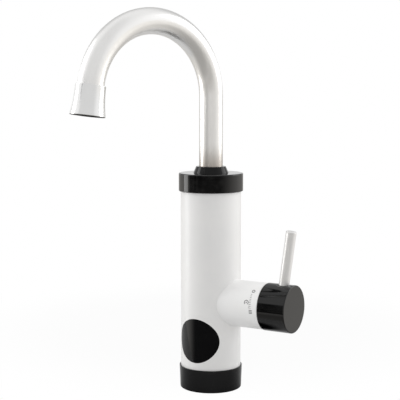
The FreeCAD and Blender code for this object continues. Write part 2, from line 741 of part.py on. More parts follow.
def heater_pieces():
    """Heater tank hung on the rim of the housing, with its coil, cut-out and sensor."""
    floor_top = TANK_Z + TANK_FLOOR
    rim_top = SHELL_TOP + TANK_RIM_T
    tank = turned(
        [
            (0, TANK_Z),
            (TANK_R, TANK_Z, 2.5),
            (TANK_R, SHELL_TOP),
            (RIM_R, SHELL_TOP),
            (RIM_R, rim_top),
            (TANK_IN, rim_top),
            (TANK_IN, floor_top, 1.5),
            (0, floor_top),
        ]
    )
    coil_low = floor_top + COIL_CLEAR + COIL_BEND
    tail = TANK_Z - COIL_TAIL
    turns = helix(COIL_R, coil_low, COIL_PITCH, COIL_TURNS)
    last, heading = turns[-1]
    out = Vector(last.x, last.y, 0).normalize()
    on = Vector(heading.x, heading.y, 0).normalize()
    leg_out = math.sqrt(COIL_LEG_CIRCLE**2 - COIL_LEG_SIDE**2)
    drop = out * leg_out + on * COIL_LEG_SIDE + UP * (last.z + COIL_LIFT - COIL_TURN_DOWN)
    inner = drop + (out + UP) * COIL_TURN_DOWN
    rise = Vector(COIL_R, -COIL_BEND, coil_low - COIL_BEND)
    nodes = [(Vector(rise.x, rise.y, tail), UP), (rise, UP)] + turns
    nodes += [(inner, out * -1), (drop, UP * -1), (Vector(drop.x, drop.y, tail), UP * -1)]
    coil = swept(nodes, COIL_WIRE)
    print("heating_coil least self gap", self_gap(nodes, COIL_WIRE), "mm")

    legs = [(rise.x, rise.y), (drop.x, drop.y)]
    nuts = [pipe(COIL_NUT_R, COIL_WIRE + SEAL, TANK_Z - COIL_NUT_T, TANK_Z, leg) for leg in legs]
    for leg in legs:
        tank = tank.cut(disc(COIL_WIRE + SEAL, TANK_Z - 1, floor_top + 1, leg))
    tank = tank.cut(disc(PIPE_R + SEAL, TANK_Z - 1, floor_top + 1))
    probe_at = polar(PROBE_CIRCLE, PROBE_ANGLE)
    tank = tank.cut(disc(PROBE_R + SEAL, TANK_Z - 1, floor_top + 1, probe_at))
    cutout = turned(
        [
            (0, -CUTOUT_H),
            (CUTOUT_R - 1.5, -CUTOUT_H, 0.6),
            (CUTOUT_R - 1.5, -3.0),
            (CUTOUT_R, -3.0),
            (CUTOUT_R, 0),
            (0, 0),
        ]
    )
    for side in (-BLADE_SIDE, BLADE_SIDE):
        blade = block(BLADE_T, BLADE_W, BLADE_L, side, -BLADE_W / 2, -CUTOUT_H - BLADE_L)
        cutout = cutout.fuse(blade)
    cutout.translate(Vector(*polar(CUTOUT_CIRCLE, CUTOUT_ANGLE), TANK_Z))
    probe = disc(PROBE_R, TANK_Z, floor_top + PROBE_L, probe_at)
    probe = probe.fuse(disc(PROBE_HEAD_R, TANK_Z - PROBE_HEAD_H, TANK_Z, probe_at))
    heater_tube = pipe(PIPE_R, PIPE_R - PIPE_WALL, ARM_Z + VALVE_R - PIPE_GRIP, floor_top + 1)
    return {
        "heater_tank": tank,
        "heating_coil": coil,
        "coil_nuts": group(nuts),
        "thermal_cutout": cutout,
        "temperature_sensor": probe.removeSplitter(),
        "heater_tube": heater_tube,
    }


def top_pieces():
    """Lid with the swivel neck, black cap, cone collar and the seals between them."""
    rim_top = SHELL_TOP + TANK_RIM_T
    lid_seal = pipe(RIM_R - SLIP, TANK_IN, rim_top, LID_Z)
    lid = turned(
        [
            (NECK_BORE, LID_Z - LID_BOSS_L),
            (LID_BOSS_R, LID_Z - LID_BOSS_L, 1.0),
            (LID_BOSS_R, LID_Z),
            (RIM_R, LID_Z),
            (RIM_R, LID_TOP),
            (NECK_R, LID_TOP),
            (NECK_R, NECK_TOP),
            (NECK_BORE, NECK_TOP),
        ]
    )
    under = CAP_TOP - CAP_TOP_T
    cap = turned(
        [
            (NECK_R + SLIP, under),
            (CAP_RIB_R - CAP_RIB_W, under),
            (CAP_RIB_R - CAP_RIB_W, LID_TOP),
            (CAP_RIB_R, LID_TOP),
            (CAP_RIB_R, under),
            (BODY_R + SLIP, under),
            (BODY_R + SLIP, CAP_Z, 0.4),
            (CAP_R, CAP_Z, 0.8),
            (CAP_R, CAP_TOP, 1.0),
            (NECK_R + SLIP, CAP_TOP),
        ]
    )
    lip_low = TUBE_FOOT + SEAL
    collar = turned(
        [
            (NECK_R + SEAL, CAP_TOP),
            (COLLAR_FOOT_R, CAP_TOP),
            (COLLAR_TOP_R, CAP_TOP + COLLAR_H, 0.5),
            (LEG_R + RUN, CAP_TOP + COLLAR_H, 0.3),
            (LEG_R + RUN, lip_low),
            (NECK_R + SEAL, lip_low),
        ]
    )
    washer = pipe(FOOT_FLANGE_R, NECK_BORE + SEAL, NECK_TOP, NECK_TOP + WASHER_T)
    return {
        "lid_seal": lid_seal,
        "tank_lid": lid,
        "top_cap": cap,
        "spout_collar": collar,
        "slip_washer": washer,
    }


def spout_point(degrees):
    """Centre and direction of the gooseneck at an angle round its bend, before it is turned."""
    angle = math.radians(degrees)
    spot = Vector(0, -BEND_R * (1 - math.cos(angle)), BEND_Z + BEND_R * math.sin(angle))
    return spot, Vector(0, -math.sin(angle), math.cos(angle))


def gooseneck(inset, low, stub):
    """Solid gooseneck: straight leg, widening quarter bend, even bend and straight end."""
    crown, crown_way = spout_point(90)
    outlet, outlet_way = spout_point(BEND_SWEEP)
    start, start_way = spout_point(0)
    quarter = Part.Wire(Part.Arc(start, spout_point(45)[0], crown).toShape())
    small = Part.Wire(Part.makeCircle(LEG_R - inset, start, start_way))
    large = Part.Wire(Part.makeCircle(ARCH_R - inset, crown, crown_way))
    widening = quarter.makePipeShell([small, large], True, False)
    even = Part.Face(large).revolve(Vector(0, -BEND_R, BEND_Z), Vector(1, 0, 0), BEND_SWEEP - 90)
    leg = disc(LEG_R - inset, low, BEND_Z)
    end = Part.makeCylinder(ARCH_R - inset, stub, outlet, outlet_way)
    return leg.fuse([widening, even, end]).removeSplitter()


def spout_pieces():
    """Gooseneck with its swivel foot and sealing rings, turned to its rest position."""
    tube = gooseneck(0, TUBE_FOOT, TUBE_STUB)
    tube = tube.cut(gooseneck(TUBE_WALL, TUBE_FOOT - 1, TUBE_STUB + 1))
    flange_low = TUBE_FOOT - FOOT_FLANGE_T
    spigot_r = NECK_BORE - RUN
    groove_r = NECK_BORE - SEAL - 2 * FOOT_RING_R - SEAL
    outline = [(FOOT_BORE, flange_low - FOOT_L), (spigot_r, flange_low - FOOT_L, 0.6)]
    levels = [flange_low - d for d in FOOT_RING_DROPS]
    for level in sorted(levels):
        half = FOOT_RING_R + SEAL
        outline += [(spigot_r, level - half), (groove_r, level - half)]
        outline += [(groove_r, level + half), (spigot_r, level + half)]
    outline += [
        (spigot_r, flange_low),
        (FOOT_FLANGE_R, flange_low),
        (FOOT_FLANGE_R, TUBE_FOOT),
        (LEG_R - TUBE_WALL - SEAL, TUBE_FOOT),
        (LEG_R - TUBE_WALL - SEAL, TUBE_FOOT + SOCKET_L, 0.5),
        (FOOT_BORE, TUBE_FOOT + SOCKET_L),
    ]
    foot = turned(outline)
    rings = [ring(NECK_BORE - SEAL, FOOT_RING_R, level) for level in levels]

    insert_low = TUBE_STUB + AERATOR_WASHER_T
    insert_high = AERATOR_L - AERATOR_LIP
    housing = turned(
        [
            (ARCH_R + SEAL, 0),
            (AERATOR_TOP_R, 0, 0.3),
            (AERATOR_WAIST_R, AERATOR_L / 2, AERATOR_SWEEP_R),
            (AERATOR_END_R, AERATOR_L, 0.5),
            (AERATOR_LIP_R, AERATOR_L, 0.3),
            (AERATOR_LIP_R, insert_high),
            (ARCH_R + SEAL, insert_high),
        ]
    )
    washer = pipe(INSERT_R, ARCH_R - TUBE_WALL - 1.0, TUBE_STUB, insert_low)
    insert = disc(INSERT_R, insert_low, insert_high)
    holes = [(0.0, 0.0)]
    for step in range(1, GRID_RINGS + 1):
        holes += [polar(step * GRID_PITCH, 60 * i / step) for i in range(6 * step)]
    for hole in holes:
        insert = insert.cut(disc(GRID_HOLE_R, insert_low - 1, insert_high + 1, hole))
    outlet, outlet_way = spout_point(BEND_SWEEP)
    pieces = {
        "spout_tube": tube,
        "spout_foot": foot,
        "spout_o_rings": group(rings),
        "aerator_housing": along(housing, outlet, outlet_way),
        "aerator_washer": along(washer, outlet, outlet_way),
        "aerator_insert": along(insert, outlet, outlet_way),
    }
    for piece in pieces.values():
        piece.rotate(ORIGIN, UP, -SPOUT_TURN)
    return pieces


def display_pieces():
    """Flush round window, its gasket, and the carrier with the display board."""
    low = WINDOW_Z - 2 * WINDOW_R
    high = WINDOW_Z + 2 * WINDOW_R
    plug = rod_y(WINDOW_R, -2 * BODY_R, 0, 0, WINDOW_Z)
    wide = rod_y(WINDOW_R + LENS_LIP, -2 * BODY_R, 0, 0, WINDOW_Z)
    window = plug.common(pipe(BODY_R, LENS_IN, low, high))
    window = window.fuse(wide.common(pipe(LENS_OUT, LENS_IN, low, high))).removeSplitter()
    hollow = rod_y(WINDOW_R + SLIP, -2 * BODY_R, 0, 0, WINDOW_Z)
    gasket = wide.cut(hollow).common(pipe(BODY_IN, LENS_OUT, low, high))

    carrier_low = WINDOW_Z - CARRIER_H / 2
    carrier = block(CARRIER_W, BODY_R + DISPLAY_Y, CARRIER_H, 0, -BODY_R, carrier_low)
    carrier = carrier.common(disc(LENS_IN, low, high))
    opening = block(CARRIER_OPEN_W, BODY_R, CARRIER_OPEN_H, 0, -BODY_R, WINDOW_Z - CARRIER_OPEN_H / 2)
    carrier = carrier.cut(opening)
    screw_levels = (WINDOW_Z - CARRIER_SCREW_Z, WINDOW_Z + CARRIER_SCREW_Z)
    tab_reach = CARRIER_SCREW_Z + SCREW_HEAD_R + 1.0
    tab_back = DISPLAY_Y - CARRIER_TAB_T
    tabs = block(CARRIER_TAB_W, CARRIER_TAB_T, 2 * tab_reach, 0, tab_back, WINDOW_Z - tab_reach)
    carrier = carrier.fuse(tabs.cut(opening)).removeSplitter()
    screws = []
    for level in screw_levels:
        carrier = carrier.cut(rod_y(SCREW_R + SLIP, -BODY_R, 0, 0, level))
        screws.append(along(screw(CARRIER_SCREW_L), Vector(0, DISPLAY_Y, level), Vector(0, 1, 0)))
    board = block(DISPLAY_W, BOARD_T, DISPLAY_H, 0, DISPLAY_Y, WINDOW_Z - DISPLAY_H / 2)
    digits = block(DIGITS_W, DIGITS_D, DIGITS_H, 0, DISPLAY_Y - DIGITS_D, WINDOW_Z - DIGITS_H / 2)
    return {
        "display_window": window,
        "window_gasket": gasket,
        "display_carrier": carrier,
        "display_board": board,
        "display_digits": digits,
        "carrier_screws": group(screws),
    }


def control_pieces():
    """Control board on the back wall with its relay and terminals."""
    board = block(BOARD_W, BOARD_T, BOARD_HIGH - BOARD_LOW, 0, BOARD_Y, BOARD_LOW)
    screws = []
    for level in (BOARD_SCREW_LOW, BOARD_SCREW_HIGH):
        board = board.cut(rod_y(SCREW_R + SLIP, 0, BODY_R, 0, level))
        screws.append(along(screw(BOARD_SCREW_L), Vector(0, BOARD_Y, level), Vector(0, -1, 0)))
    relay = block(RELAY_W, RELAY_D, RELAY_H, 0, BOARD_Y - RELAY_D, RELAY_Z)
    terminals = block(TERMINAL_W, TERMINAL_D, TERMINAL_H, 0, BOARD_Y - TERMINAL_D, TERMINAL_Z)
    for i in range(3):
        x = (i - 1) * TERMINAL_W / 3
        terminals = terminals.cut(rod_y(2.2, 0, BOARD_Y - 3, x, TERMINAL_Z + TERMINAL_H / 2))
    return {
        "control_board": board,
        "board_screws": group(screws),
        "power_relay": relay,
        "terminal_block": terminals,
    }


def housing_shell():
    """White housing: barrel and arm in one, with seats and screw bosses inside."""
    barrel = disc(BODY_R, RING_FLOOR, SHELL_TOP)
    arm = on_arm(disc(ARM_R, 0, ARM_END))
    outside = barrel.fuse(arm)
    seam = [e for e in outside.Edges if e.Curve.TypeId == "Part::GeomBSplineCurve"]
    outside = outside.makeFillet(ARM_FILLET, seam)
    shell = outside.cut(disc(BODY_IN, RING_FLOOR - 1, SHELL_TOP + 1))
    shell = shell.cut(on_arm(disc(ARM_IN, 0, ARM_END + 1)))
    seat = on_arm(pipe(ARM_IN + BITE, VALVE_R + RUN, VALVE_SEAT - SHOULDER_T, VALVE_SEAT))
    shell = shell.fuse(seat)
    wall_reach = BODY_IN + BITE
    for angle in BASE_SCREW_ANGLES:
        spot = polar(BASE_SCREW_CIRCLE, angle)
        boss = disc(BOSS_R, PLATE_TOP, PLATE_TOP + BASE_SCREW_L, spot)
        hole = disc(SCREW_R + SEAL, 0, BASE_SCREW_L + 1, spot)
        shell = shell.fuse(boss.common(disc(wall_reach, 0, SHELL_TOP))).cut(hole)
    front = DISPLAY_Y - CARRIER_TAB_T
    for level in (WINDOW_Z - CARRIER_SCREW_Z, WINDOW_Z + CARRIER_SCREW_Z):
        boss = rod_y(BOSS_R, -BODY_R, front, 0, level).common(disc(wall_reach, 0, SHELL_TOP))
        hole = rod_y(SCREW_R + SEAL, DISPLAY_Y - CARRIER_SCREW_L - APART, 0, 0, level)
        shell = shell.fuse(boss).cut(hole)
    back = BOARD_Y + BOARD_T
    for level in (BOARD_SCREW_LOW, BOARD_SCREW_HIGH):
        boss = rod_y(BOSS_R, back, BODY_R, 0, level).common(disc(wall_reach, 0, SHELL_TOP))
        hole = rod_y(SCREW_R + SEAL, 0, BOARD_Y + BOARD_SCREW_L + APART, 0, level)
        shell = shell.fuse(boss).cut(hole)
    window = rod_y(WINDOW_R + SLIP, -2 * BODY_R, 0, 0, WINDOW_Z)
    return {"body_shell": shell.cut(window).removeSplitter()}


def main():
    """Build every piece and write one STEP file each."""
    os.makedirs("parts", exist_ok=True)
    pieces = {}
    for build in (
        base_pieces,
        inlet_pieces,
        flow_pieces,
        valve_pieces,
        handle_pieces,
        heater_pieces,
        top_pieces,
        spout_pieces,
        display_pieces,
        control_pieces,
        housing_shell,
    ):
        pieces.update(build())
    for name, shape in pieces.items():
        if not shape.isValid():
            print("not valid:", name)
        shape.exportStep(os.path.join("parts", name + ".step"))
    print(len(pieces), "pieces written")


main()
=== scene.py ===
import logging
import math
from dataclasses import dataclass
from enum import Enum
from typing import Any, ClassVar, Optional, Union

import bmesh
import bpy
from mathutils import Matrix, Vector


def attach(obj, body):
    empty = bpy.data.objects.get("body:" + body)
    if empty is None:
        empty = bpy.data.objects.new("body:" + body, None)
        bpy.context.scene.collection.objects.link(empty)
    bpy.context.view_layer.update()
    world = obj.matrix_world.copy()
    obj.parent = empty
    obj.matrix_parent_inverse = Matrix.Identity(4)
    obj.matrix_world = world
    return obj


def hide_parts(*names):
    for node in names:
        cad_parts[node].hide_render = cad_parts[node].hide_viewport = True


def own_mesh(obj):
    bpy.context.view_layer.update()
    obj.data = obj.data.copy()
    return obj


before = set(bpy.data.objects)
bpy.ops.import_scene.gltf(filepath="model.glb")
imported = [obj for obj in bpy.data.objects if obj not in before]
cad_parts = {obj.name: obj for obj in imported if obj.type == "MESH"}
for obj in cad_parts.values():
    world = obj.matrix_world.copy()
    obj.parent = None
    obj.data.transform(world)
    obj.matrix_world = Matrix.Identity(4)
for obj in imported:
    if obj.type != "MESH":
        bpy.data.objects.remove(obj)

Colour = tuple[float, float, float, float]
Point = tuple[float, float, float]
Pair = tuple[float, float]
Span = tuple[float, float, float, float]

LOG = logging.getLogger("tap")
MM = 0.001
WHITE: Colour = (1.0, 1.0, 1.0, 1.0)


class Wire:
    """A value on a node sheet; Python's operators lay Math nodes on it."""

    def __init__(self, sheet: "NodeSheet", socket: bpy.types.NodeSocket) -> None:
        """Keep the socket and the sheet that it is drawn on."""
        self.sheet = sheet
        self.socket = socket

    def maths(self, operation: str, first: "Value", second: "Value" = 0.0) -> "Wire":
        """Result of one Math node, laid on the sheet."""
        return self.sheet.node("ShaderNodeMath", {"operation": operation}, {0: first, 1: second})

    def __add__(self, other: "Value") -> "Wire":
        """Sum."""
        return self.maths("ADD", self, other)

    __radd__ = __add__

    def __sub__(self, other: "Value") -> "Wire":
        """Difference."""
        return self.maths("SUBTRACT", self, other)

    def __rsub__(self, other: "Value") -> "Wire":
        """Difference from a number."""
        return self.maths("SUBTRACT", other, self)

    def __mul__(self, other: "Value") -> "Wire":
        """Product."""
        return self.maths("MULTIPLY", self, other)

    __rmul__ = __mul__

    def __truediv__(self, other: "Value") -> "Wire":
        """Quotient."""
        return self.maths("DIVIDE", self, other)

    def __rtruediv__(self, other: "Value") -> "Wire":
        """Quotient of a number by this value."""
        return self.maths("DIVIDE", other, self)

    def at_least(self, other: "Value") -> "Wire":
        """The larger of two values."""
        return self.maths("MAXIMUM", self, other)

    def at_most(self, other: "Value") -> "Wire":
        """The smaller of two values."""
        return self.maths("MINIMUM", self, other)

    def toward(self, goal: float, share: "Wire") -> "Wire":
        """This value drawn towards a goal by a share from 0 to 1."""
        return self + (goal - self) * share

    def turn_from(self, ahead: "Value") -> "Wire":
        """Angle whose sine side is this value and whose cosine side is ahead."""
        return self.maths("ARCTAN2", self, ahead)

    def long_side(self, other: "Wire") -> "Wire":
        """Long side of the right triangle on this value and another."""
        return self.maths("SQRT", self * self + other * other)

    def phase(self) -> "Wire":
        """Fraction left after whole turns."""
        return self.maths("FRACT", self)

    def size(self) -> "Wire":
        """Distance from zero."""
        return self.maths("ABSOLUTE", self)

    def step(self, low: float, high: float) -> "Wire":
        """Smooth rise from 0 at low to 1 at high; low above high makes it fall.

        Args:
            low: Value that gives 0.
            high: Value that gives 1.

        Returns:
            The mask.
        """
        settings = {"interpolation_type": "SMOOTHSTEP"}
        sockets = {0: self, 1: low, 2: high}
        if low > high:
            sockets = {0: self, 1: high, 2: low, 3: 1.0, 4: 0.0}
        return self.sheet.node("ShaderNodeMapRange", settings, sockets)

    def within(self, span: Span) -> "Wire":
        """Mask that rises over a span's first two values and falls over its last two."""
        return self.step(span[0], span[1]) * self.step(span[3], span[2])

    def part(self, axis: str) -> "Wire":
        """One component, X, Y or Z, of a vector."""
        return self.sheet.node("ShaderNodeSeparateXYZ", sockets={0: self}, out=axis)

    def off_axis(self) -> "Wire":
        """Distance of a position from the upright axis."""
        return self.part("X").long_side(self.part("Y"))

    def other(self, name: str) -> "Wire":
        """Another output of the same node."""
        return Wire(self.sheet, self.socket.node.outputs[name])


Value = Union[Wire, float]


class NodeSheet:
    """The node tree of one material or of the world."""

    def __init__(self, tree: bpy.types.NodeTree) -> None:
        """Start from an empty tree."""
        self.tree = tree
        tree.nodes.clear()

    def node(
        self,
        kind: str,
        settings: Optional[dict[str, Any]] = None,
        sockets: Optional[dict[Any, Any]] = None,
        out: Union[int, str] = 0,
    ) -> Wire:
        """Add a node, set it up, then feed its sockets.

        Args:
            kind: Blender's name of the node's type.
            settings: Attributes of the node.
            sockets: Values or links by socket name or number.
            out: Output to hand on.

        Returns:
            That output, or an empty wire for a node without outputs.
        """
        made = self.tree.nodes.new(kind)
        for name, value in (settings or {}).items():
            setattr(made, name, value)
        for name, value in (sockets or {}).items():
            if isinstance(value, Wire):
                self.tree.links.new(value.socket, made.inputs[name])
            else:
                made.inputs[name].default_value = value
        return Wire(self, made.outputs[out] if len(made.outputs) else None)

    def place(self) -> Wire:
        """Position on the piece, in metres."""
        return self.node("ShaderNodeTexCoord", out="Object")

    def join(self, x: Value, y: Value, z: Value) -> Wire:
        """Vector from three values."""
        return self.node("ShaderNodeCombineXYZ", sockets={0: x, 1: y, 2: z})

    def along(self, place: Wire, way: Point) -> Wire:
        """How far a position lies along a direction."""
        settings = {"operation": "DOT_PRODUCT"}
        return self.node("ShaderNodeVectorMath", settings, {0: place, 1: way}, out="Value")

    def noise(self, place: Wire, scale: float, detail: float = 2.0, fade: float = 0.55) -> Wire:
        """Cloudy value from 0 to 1.

        Args:
            place: Position to sample at.
            scale: Features per unit.
            detail: Octaves.
            fade: Strength of each octave against the one before.

        Returns:
            The value.
        """
        sockets = {"Vector": place, "Scale": scale, "Detail": detail, "Roughness": fade}
        return self.node("ShaderNodeTexNoise", {"normalize": True}, sockets, out="Fac")

    def mix(self, share: Value, first: Any, second: Any) -> Wire:
        """Blend of two colours by the share of the second."""
        settings = {"data_type": "RGBA", "blend_type": "MIX"}
        return self.node("ShaderNodeMix", settings, {0: share, 6: first, 7: second}, out=2)

    def bump(self, height: Wire, depth: float, strength: float = 0.6) -> Wire:
        """Normal of a surface raised by a height from 0 to 1.

        Args:
            height: Height field.
            depth: Metres between its lowest and highest level.
            strength: Share of the effect.

        Returns:
            The normal.
        """
        sockets = {"Height": height, "Distance": depth, "Strength": strength}
        return self.node("ShaderNodeBump", sockets=sockets)


class Lay(Enum):
    """How the fine lines of a worked or polished surface run."""

    GOOSENECK = "along the spout tube"
    PIN = "along the lever pin"
    OUTLET = "round the outlet"
    UPRIGHT = "round the upright axis"
    ARM = "round the side arm"


@dataclass(frozen=True)
class Axes:
    """Centre lines of the turned and bent pieces, in metres.

    A draw says how little a length along the fine lines counts against one across them.
    """

    arm_z: float = 88.0 * MM
    bend_r: float = 70.0 * MM
    bend_z: float = 292.8 * MM
    spout_turn: float = math.radians(21.0)
    outlet_sweep: float = math.radians(172.0)
    pin_lean: float = math.radians(8.0)
    tube_draw: float = 0.006
    pin_draw: float = 0.008
    turned_draw: float = 0.01

    def spout_way(self) -> Point:
        """Level direction from the body to the outlet."""
        return (-math.sin(self.spout_turn), -math.cos(self.spout_turn), 0.0)

    def spout_side(self) -> Point:
        """Level direction across the gooseneck."""
        return (math.cos(self.spout_turn), -math.sin(self.spout_turn), 0.0)

    def outlet_way(self) -> Point:
        """Direction in which the water leaves."""
        x, y, _ = self.spout_way()
        level = math.sin(self.outlet_sweep)
        return (x * level, y * level, math.cos(self.outlet_sweep))

    def outlet_lift(self) -> Point:
        """Direction square to the outlet, in the plane of the gooseneck."""
        x, y, _ = self.spout_way()
        level = math.cos(self.outlet_sweep)
        return (x * level, y * level, -math.sin(self.outlet_sweep))

    def outlet_mid(self) -> Vector:
        """Point on the outlet's axis, where the bend ends."""
        reach = self.bend_r * (1.0 - math.cos(self.outlet_sweep))
        height = self.bend_z + self.bend_r * math.sin(self.outlet_sweep)
        return Vector(self.spout_way()) * reach + Vector((0.0, 0.0, height))

    def lines(self, sheet: NodeSheet, lay: Lay) -> Wire:
        """Coordinates that change fast across the lines and slowly along them.

        Args:
            sheet: Sheet to draw on.
            lay: How the lines run.

        Returns:
            Position to sample fine noise at, in metres across the lines.
        """
        place = sheet.place()
        if lay is Lay.GOOSENECK:
            reach = sheet.along(place, self.spout_way()) - self.bend_r
            over = (place.part("Z") - self.bend_z).at_least(0.0)
            side = sheet.along(place, self.spout_side())
            return sheet.join(reach.long_side(over), side, place.part("Z") * self.tube_draw)
        if lay is Lay.PIN:
            lean = self.pin_lean
            across = sheet.along(place, (math.cos(lean), 0.0, -math.sin(lean)))
            run = sheet.along(place, (math.sin(lean), 0.0, math.cos(lean)))
            return sheet.join(across, place.part("Y"), run * self.pin_draw)
        if lay is Lay.OUTLET:
            drop = sheet.along(place, self.outlet_way())
            side = sheet.along(place, self.spout_side())
            return sheet.join(drop, side * self.turned_draw, 0.0)
        if lay is Lay.ARM:
            rise = place.part("Z") - self.arm_z
            round_arm = rise.long_side(place.part("Y"))
            return sheet.join(place.part("X"), round_arm, rise * self.turned_draw)
        return sheet.join(place.part("Z"), place.off_axis(), place.part("X") * self.turned_draw)


AXES = Axes()


class Finish:
    """Base of every finish: draws one material and lays it on pieces."""

    made: ClassVar[dict["Finish", bpy.types.Material]] = {}
    name: str

    def surface(self, sheet: NodeSheet) -> dict[str, Any]:
        """Values and links of the shader's sockets."""
        raise NotImplementedError

    def material(self) -> bpy.types.Material:
        """The finish as a material, drawn once.

        Returns:
            The material.
        """
        if self not in Finish.made:
            material = bpy.data.materials.new(self.name)
            material.use_nodes = True
            sheet = NodeSheet(material.node_tree)
            shader = sheet.node("ShaderNodeBsdfPrincipled", sockets=self.surface(sheet), out="BSDF")
            sheet.node("ShaderNodeOutputMaterial", sockets={"Surface": shader})
            Finish.made[self] = material
        return Finish.made[self]

    def lay_on(self, piece: bpy.types.Object) -> None:
        """Give a piece this finish alone.

        Args:
            piece: Object whose material slots are filled.
        """
        if not piece.material_slots:
            piece.data.materials.append(None)
        for slot in piece.material_slots:
            slot.link = "OBJECT"
            slot.material = self.material()


@dataclass(frozen=True)
class ShellWhite(Finish):
    """Smooth moulded white, a little dusty beside its seams, with painted light that makes the
    arm's front lighter.
    """

    name: str = "shell_white"
    light: Colour = (0.87, 0.863, 0.850, 1.0)
    cool: Colour = (0.84, 0.836, 0.828, 1.0)
    cool_span: Pair = (0.3, 0.7)
    cloud_scale: float = 24.0
    arm_painted_light: Colour = (0.935, 0.932, 0.925, 1.0)
    arm_painted_light_span: Pair = (30.2 * MM, 30.9 * MM)
    arm_painted_light_fade: Pair = (9.0 * MM, -9.0 * MM)
    arm_painted_light_cloud: float = 0.35
    dust: Colour = (0.60, 0.59, 0.57, 1.0)
    dust_scale: float = 160.0
    dust_span: Pair = (0.35, 0.75)
    dust_share: float = 0.28
    low_seam: float = 22.6 * MM
    high_seam: float = 198.2 * MM
    seam_reach: float = 2.2 * MM
    peel_scale: float = 480.0
    peel_depth: float = 0.012 * MM
    grain_scale: float = 2600.0
    grain_share: float = 0.2
    roughness: float = 0.24
    cloud_rough: float = 0.07
    grain_rough: float = 0.05
    dust_rough: float = 0.2
    ior: float = 1.47

    def surface(self, sheet: NodeSheet) -> dict[str, Any]:
        """Clouded white, orange peel, seam dust and painted light on the arm's front.

        Args:
            sheet: Sheet to draw on.

        Returns:
            Socket values.
        """
        place = sheet.place()
        cloud = sheet.noise(place, self.cloud_scale, 3.0)
        peel = sheet.noise(place, self.peel_scale)
        grain = sheet.noise(place, self.grain_scale, 1.0)
        height = place.part("Z")
        low = height.step(self.low_seam + self.seam_reach, self.low_seam)
        high = height.step(self.high_seam - self.seam_reach, self.high_seam)
        patchy = sheet.noise(place, self.dust_scale, 3.0).step(*self.dust_span)
        dust = (low + high) * patchy * self.dust_share
        # Painted light: points on the arm's front get the lighter colour, standing in for light
        # falling there.
        arm = place.off_axis().step(*self.arm_painted_light_span) * place.part("Y").step(*self.arm_painted_light_fade)
        tone = sheet.mix(cloud.step(*self.cool_span), self.light, self.cool)
        tone = sheet.mix(arm * (1.0 - self.arm_painted_light_cloud * cloud), tone, self.arm_painted_light)
        fine = self.cloud_rough * cloud + self.grain_rough * grain + self.dust_rough * dust
        relief = peel * (1.0 - self.grain_share) + grain * self.grain_share
        return {
            "Base Color": sheet.mix(dust, tone, self.dust),
            "Roughness": self.roughness + fine,
            "Normal": sheet.bump(relief, self.peel_depth),
            "IOR": self.ior,
        }


@dataclass(frozen=True)
class GlossBlack(Finish):
    """Polished black moulding with hairlines, wipe marks and a little dust."""

    name: str = "gloss_black"
    lay: Lay = Lay.UPRIGHT
    deep: Colour = (0.0016, 0.0016, 0.0018, 1.0)
    dust: Colour = (0.10, 0.10, 0.098, 1.0)
    dusting: float = 0.35
    speck_scale: float = 1500.0
    speck_span: Pair = (0.70, 0.80)
    polish: float = 0.05
    wipe_scale: float = 38.0
    wipe_span: Pair = (0.4, 0.8)
    wipe_rough: float = 0.07
    hair_scale: float = 3400.0
    hair_span: Pair = (0.6, 0.85)
    hair_rough: float = 0.05
    hair_share: float = 0.1
    wave_scale: float = 130.0
    wave_depth: float = 0.006 * MM
    ior: float = 1.5
    shine: float = 0.5

    def surface(self, sheet: NodeSheet) -> dict[str, Any]:
        """Deep black with fine wear in its polish.

        Args:
            sheet: Sheet to draw on.

        Returns:
            Socket values.
        """
        place = sheet.place()
        wipe = sheet.noise(place, self.wipe_scale, 4.0)
        hair = sheet.noise(AXES.lines(sheet, self.lay), self.hair_scale)
        speck = sheet.noise(place, self.speck_scale, 1.0).step(*self.speck_span)
        wave = sheet.noise(place, self.wave_scale, 1.0)
        smear = self.wipe_rough * wipe.step(*self.wipe_span)
        scratch = self.hair_rough * hair.step(*self.hair_span)
        relief = wave * (1.0 - self.hair_share) + hair * self.hair_share
        return {
            "Base Color": sheet.mix(speck * wipe * self.dusting, self.deep, self.dust),
            "Roughness": self.polish + smear + scratch,
            "Normal": sheet.bump(relief, self.wave_depth, 0.7),
            "IOR": self.ior,
            "Specular IOR Level": self.shine,
        }


@dataclass(frozen=True)
class WorkedMetal(Finish):
    """Polished, brushed or turned metal with fine lines, threaded where a pitch is given."""

    name: str = "worked_metal"
    lay: Lay = Lay.UPRIGHT
    bright: Colour = (0.80, 0.79, 0.77, 1.0)
    dull: Colour = (0.70, 0.69, 0.67, 1.0)
    roughness: float = 0.2
    spread: float = 0.1
    metal: float = 1.0
    line_scale: float = 2600.0
    line_depth: float = 0.004 * MM
    line_share: float = 0.6
    cloud_scale: float = 55.0
    thread_pitch: float = 0.0
    thread_depth: float = 0.9 * MM
    thread_wall: Pair = (9.9 * MM, 9.7 * MM)
    thread_end: Pair = (13.0 * MM, 12.4 * MM)
    thread_lines: float = 0.01

    def surface(self, sheet: NodeSheet) -> dict[str, Any]:
        """Metal with lines in its colour, its polish and its relief.

        Args:
            sheet: Sheet to draw on.

        Returns:
            Socket values.
        """
        place = sheet.place()
        lines = sheet.noise(AXES.lines(sheet, self.lay), self.line_scale, 3.0)
        cloud = sheet.noise(place, self.cloud_scale, 3.0)
        worn = lines * self.line_share + cloud * (1.0 - self.line_share)
        relief = lines
        depth = self.line_depth
        if self.thread_pitch:
            relief = self._thread(place) + lines * self.thread_lines
            depth = self.thread_depth
        return {
            "Base Color": sheet.mix(worn, self.bright, self.dull),
            "Metallic": self.metal,
            "Roughness": self.roughness + self.spread * (worn - 0.5),
            "Normal": sheet.bump(relief, depth),
        }

    def _thread(self, place: Wire) -> Wire:
        """Height of the screw thread in the bore.

        Args:
            place: Position on the piece.

        Returns:
            The height, 0 outside the thread.
        """
        turn = place.part("Y").turn_from(place.part("X")) / math.tau
        climb = place.part("Z") / self.thread_pitch
        ridge = ((climb + turn).phase() - 0.5).size() * 2.0
        wall = place.off_axis().step(*self.thread_wall)
        return ridge * wall * place.part("Z").step(*self.thread_end)


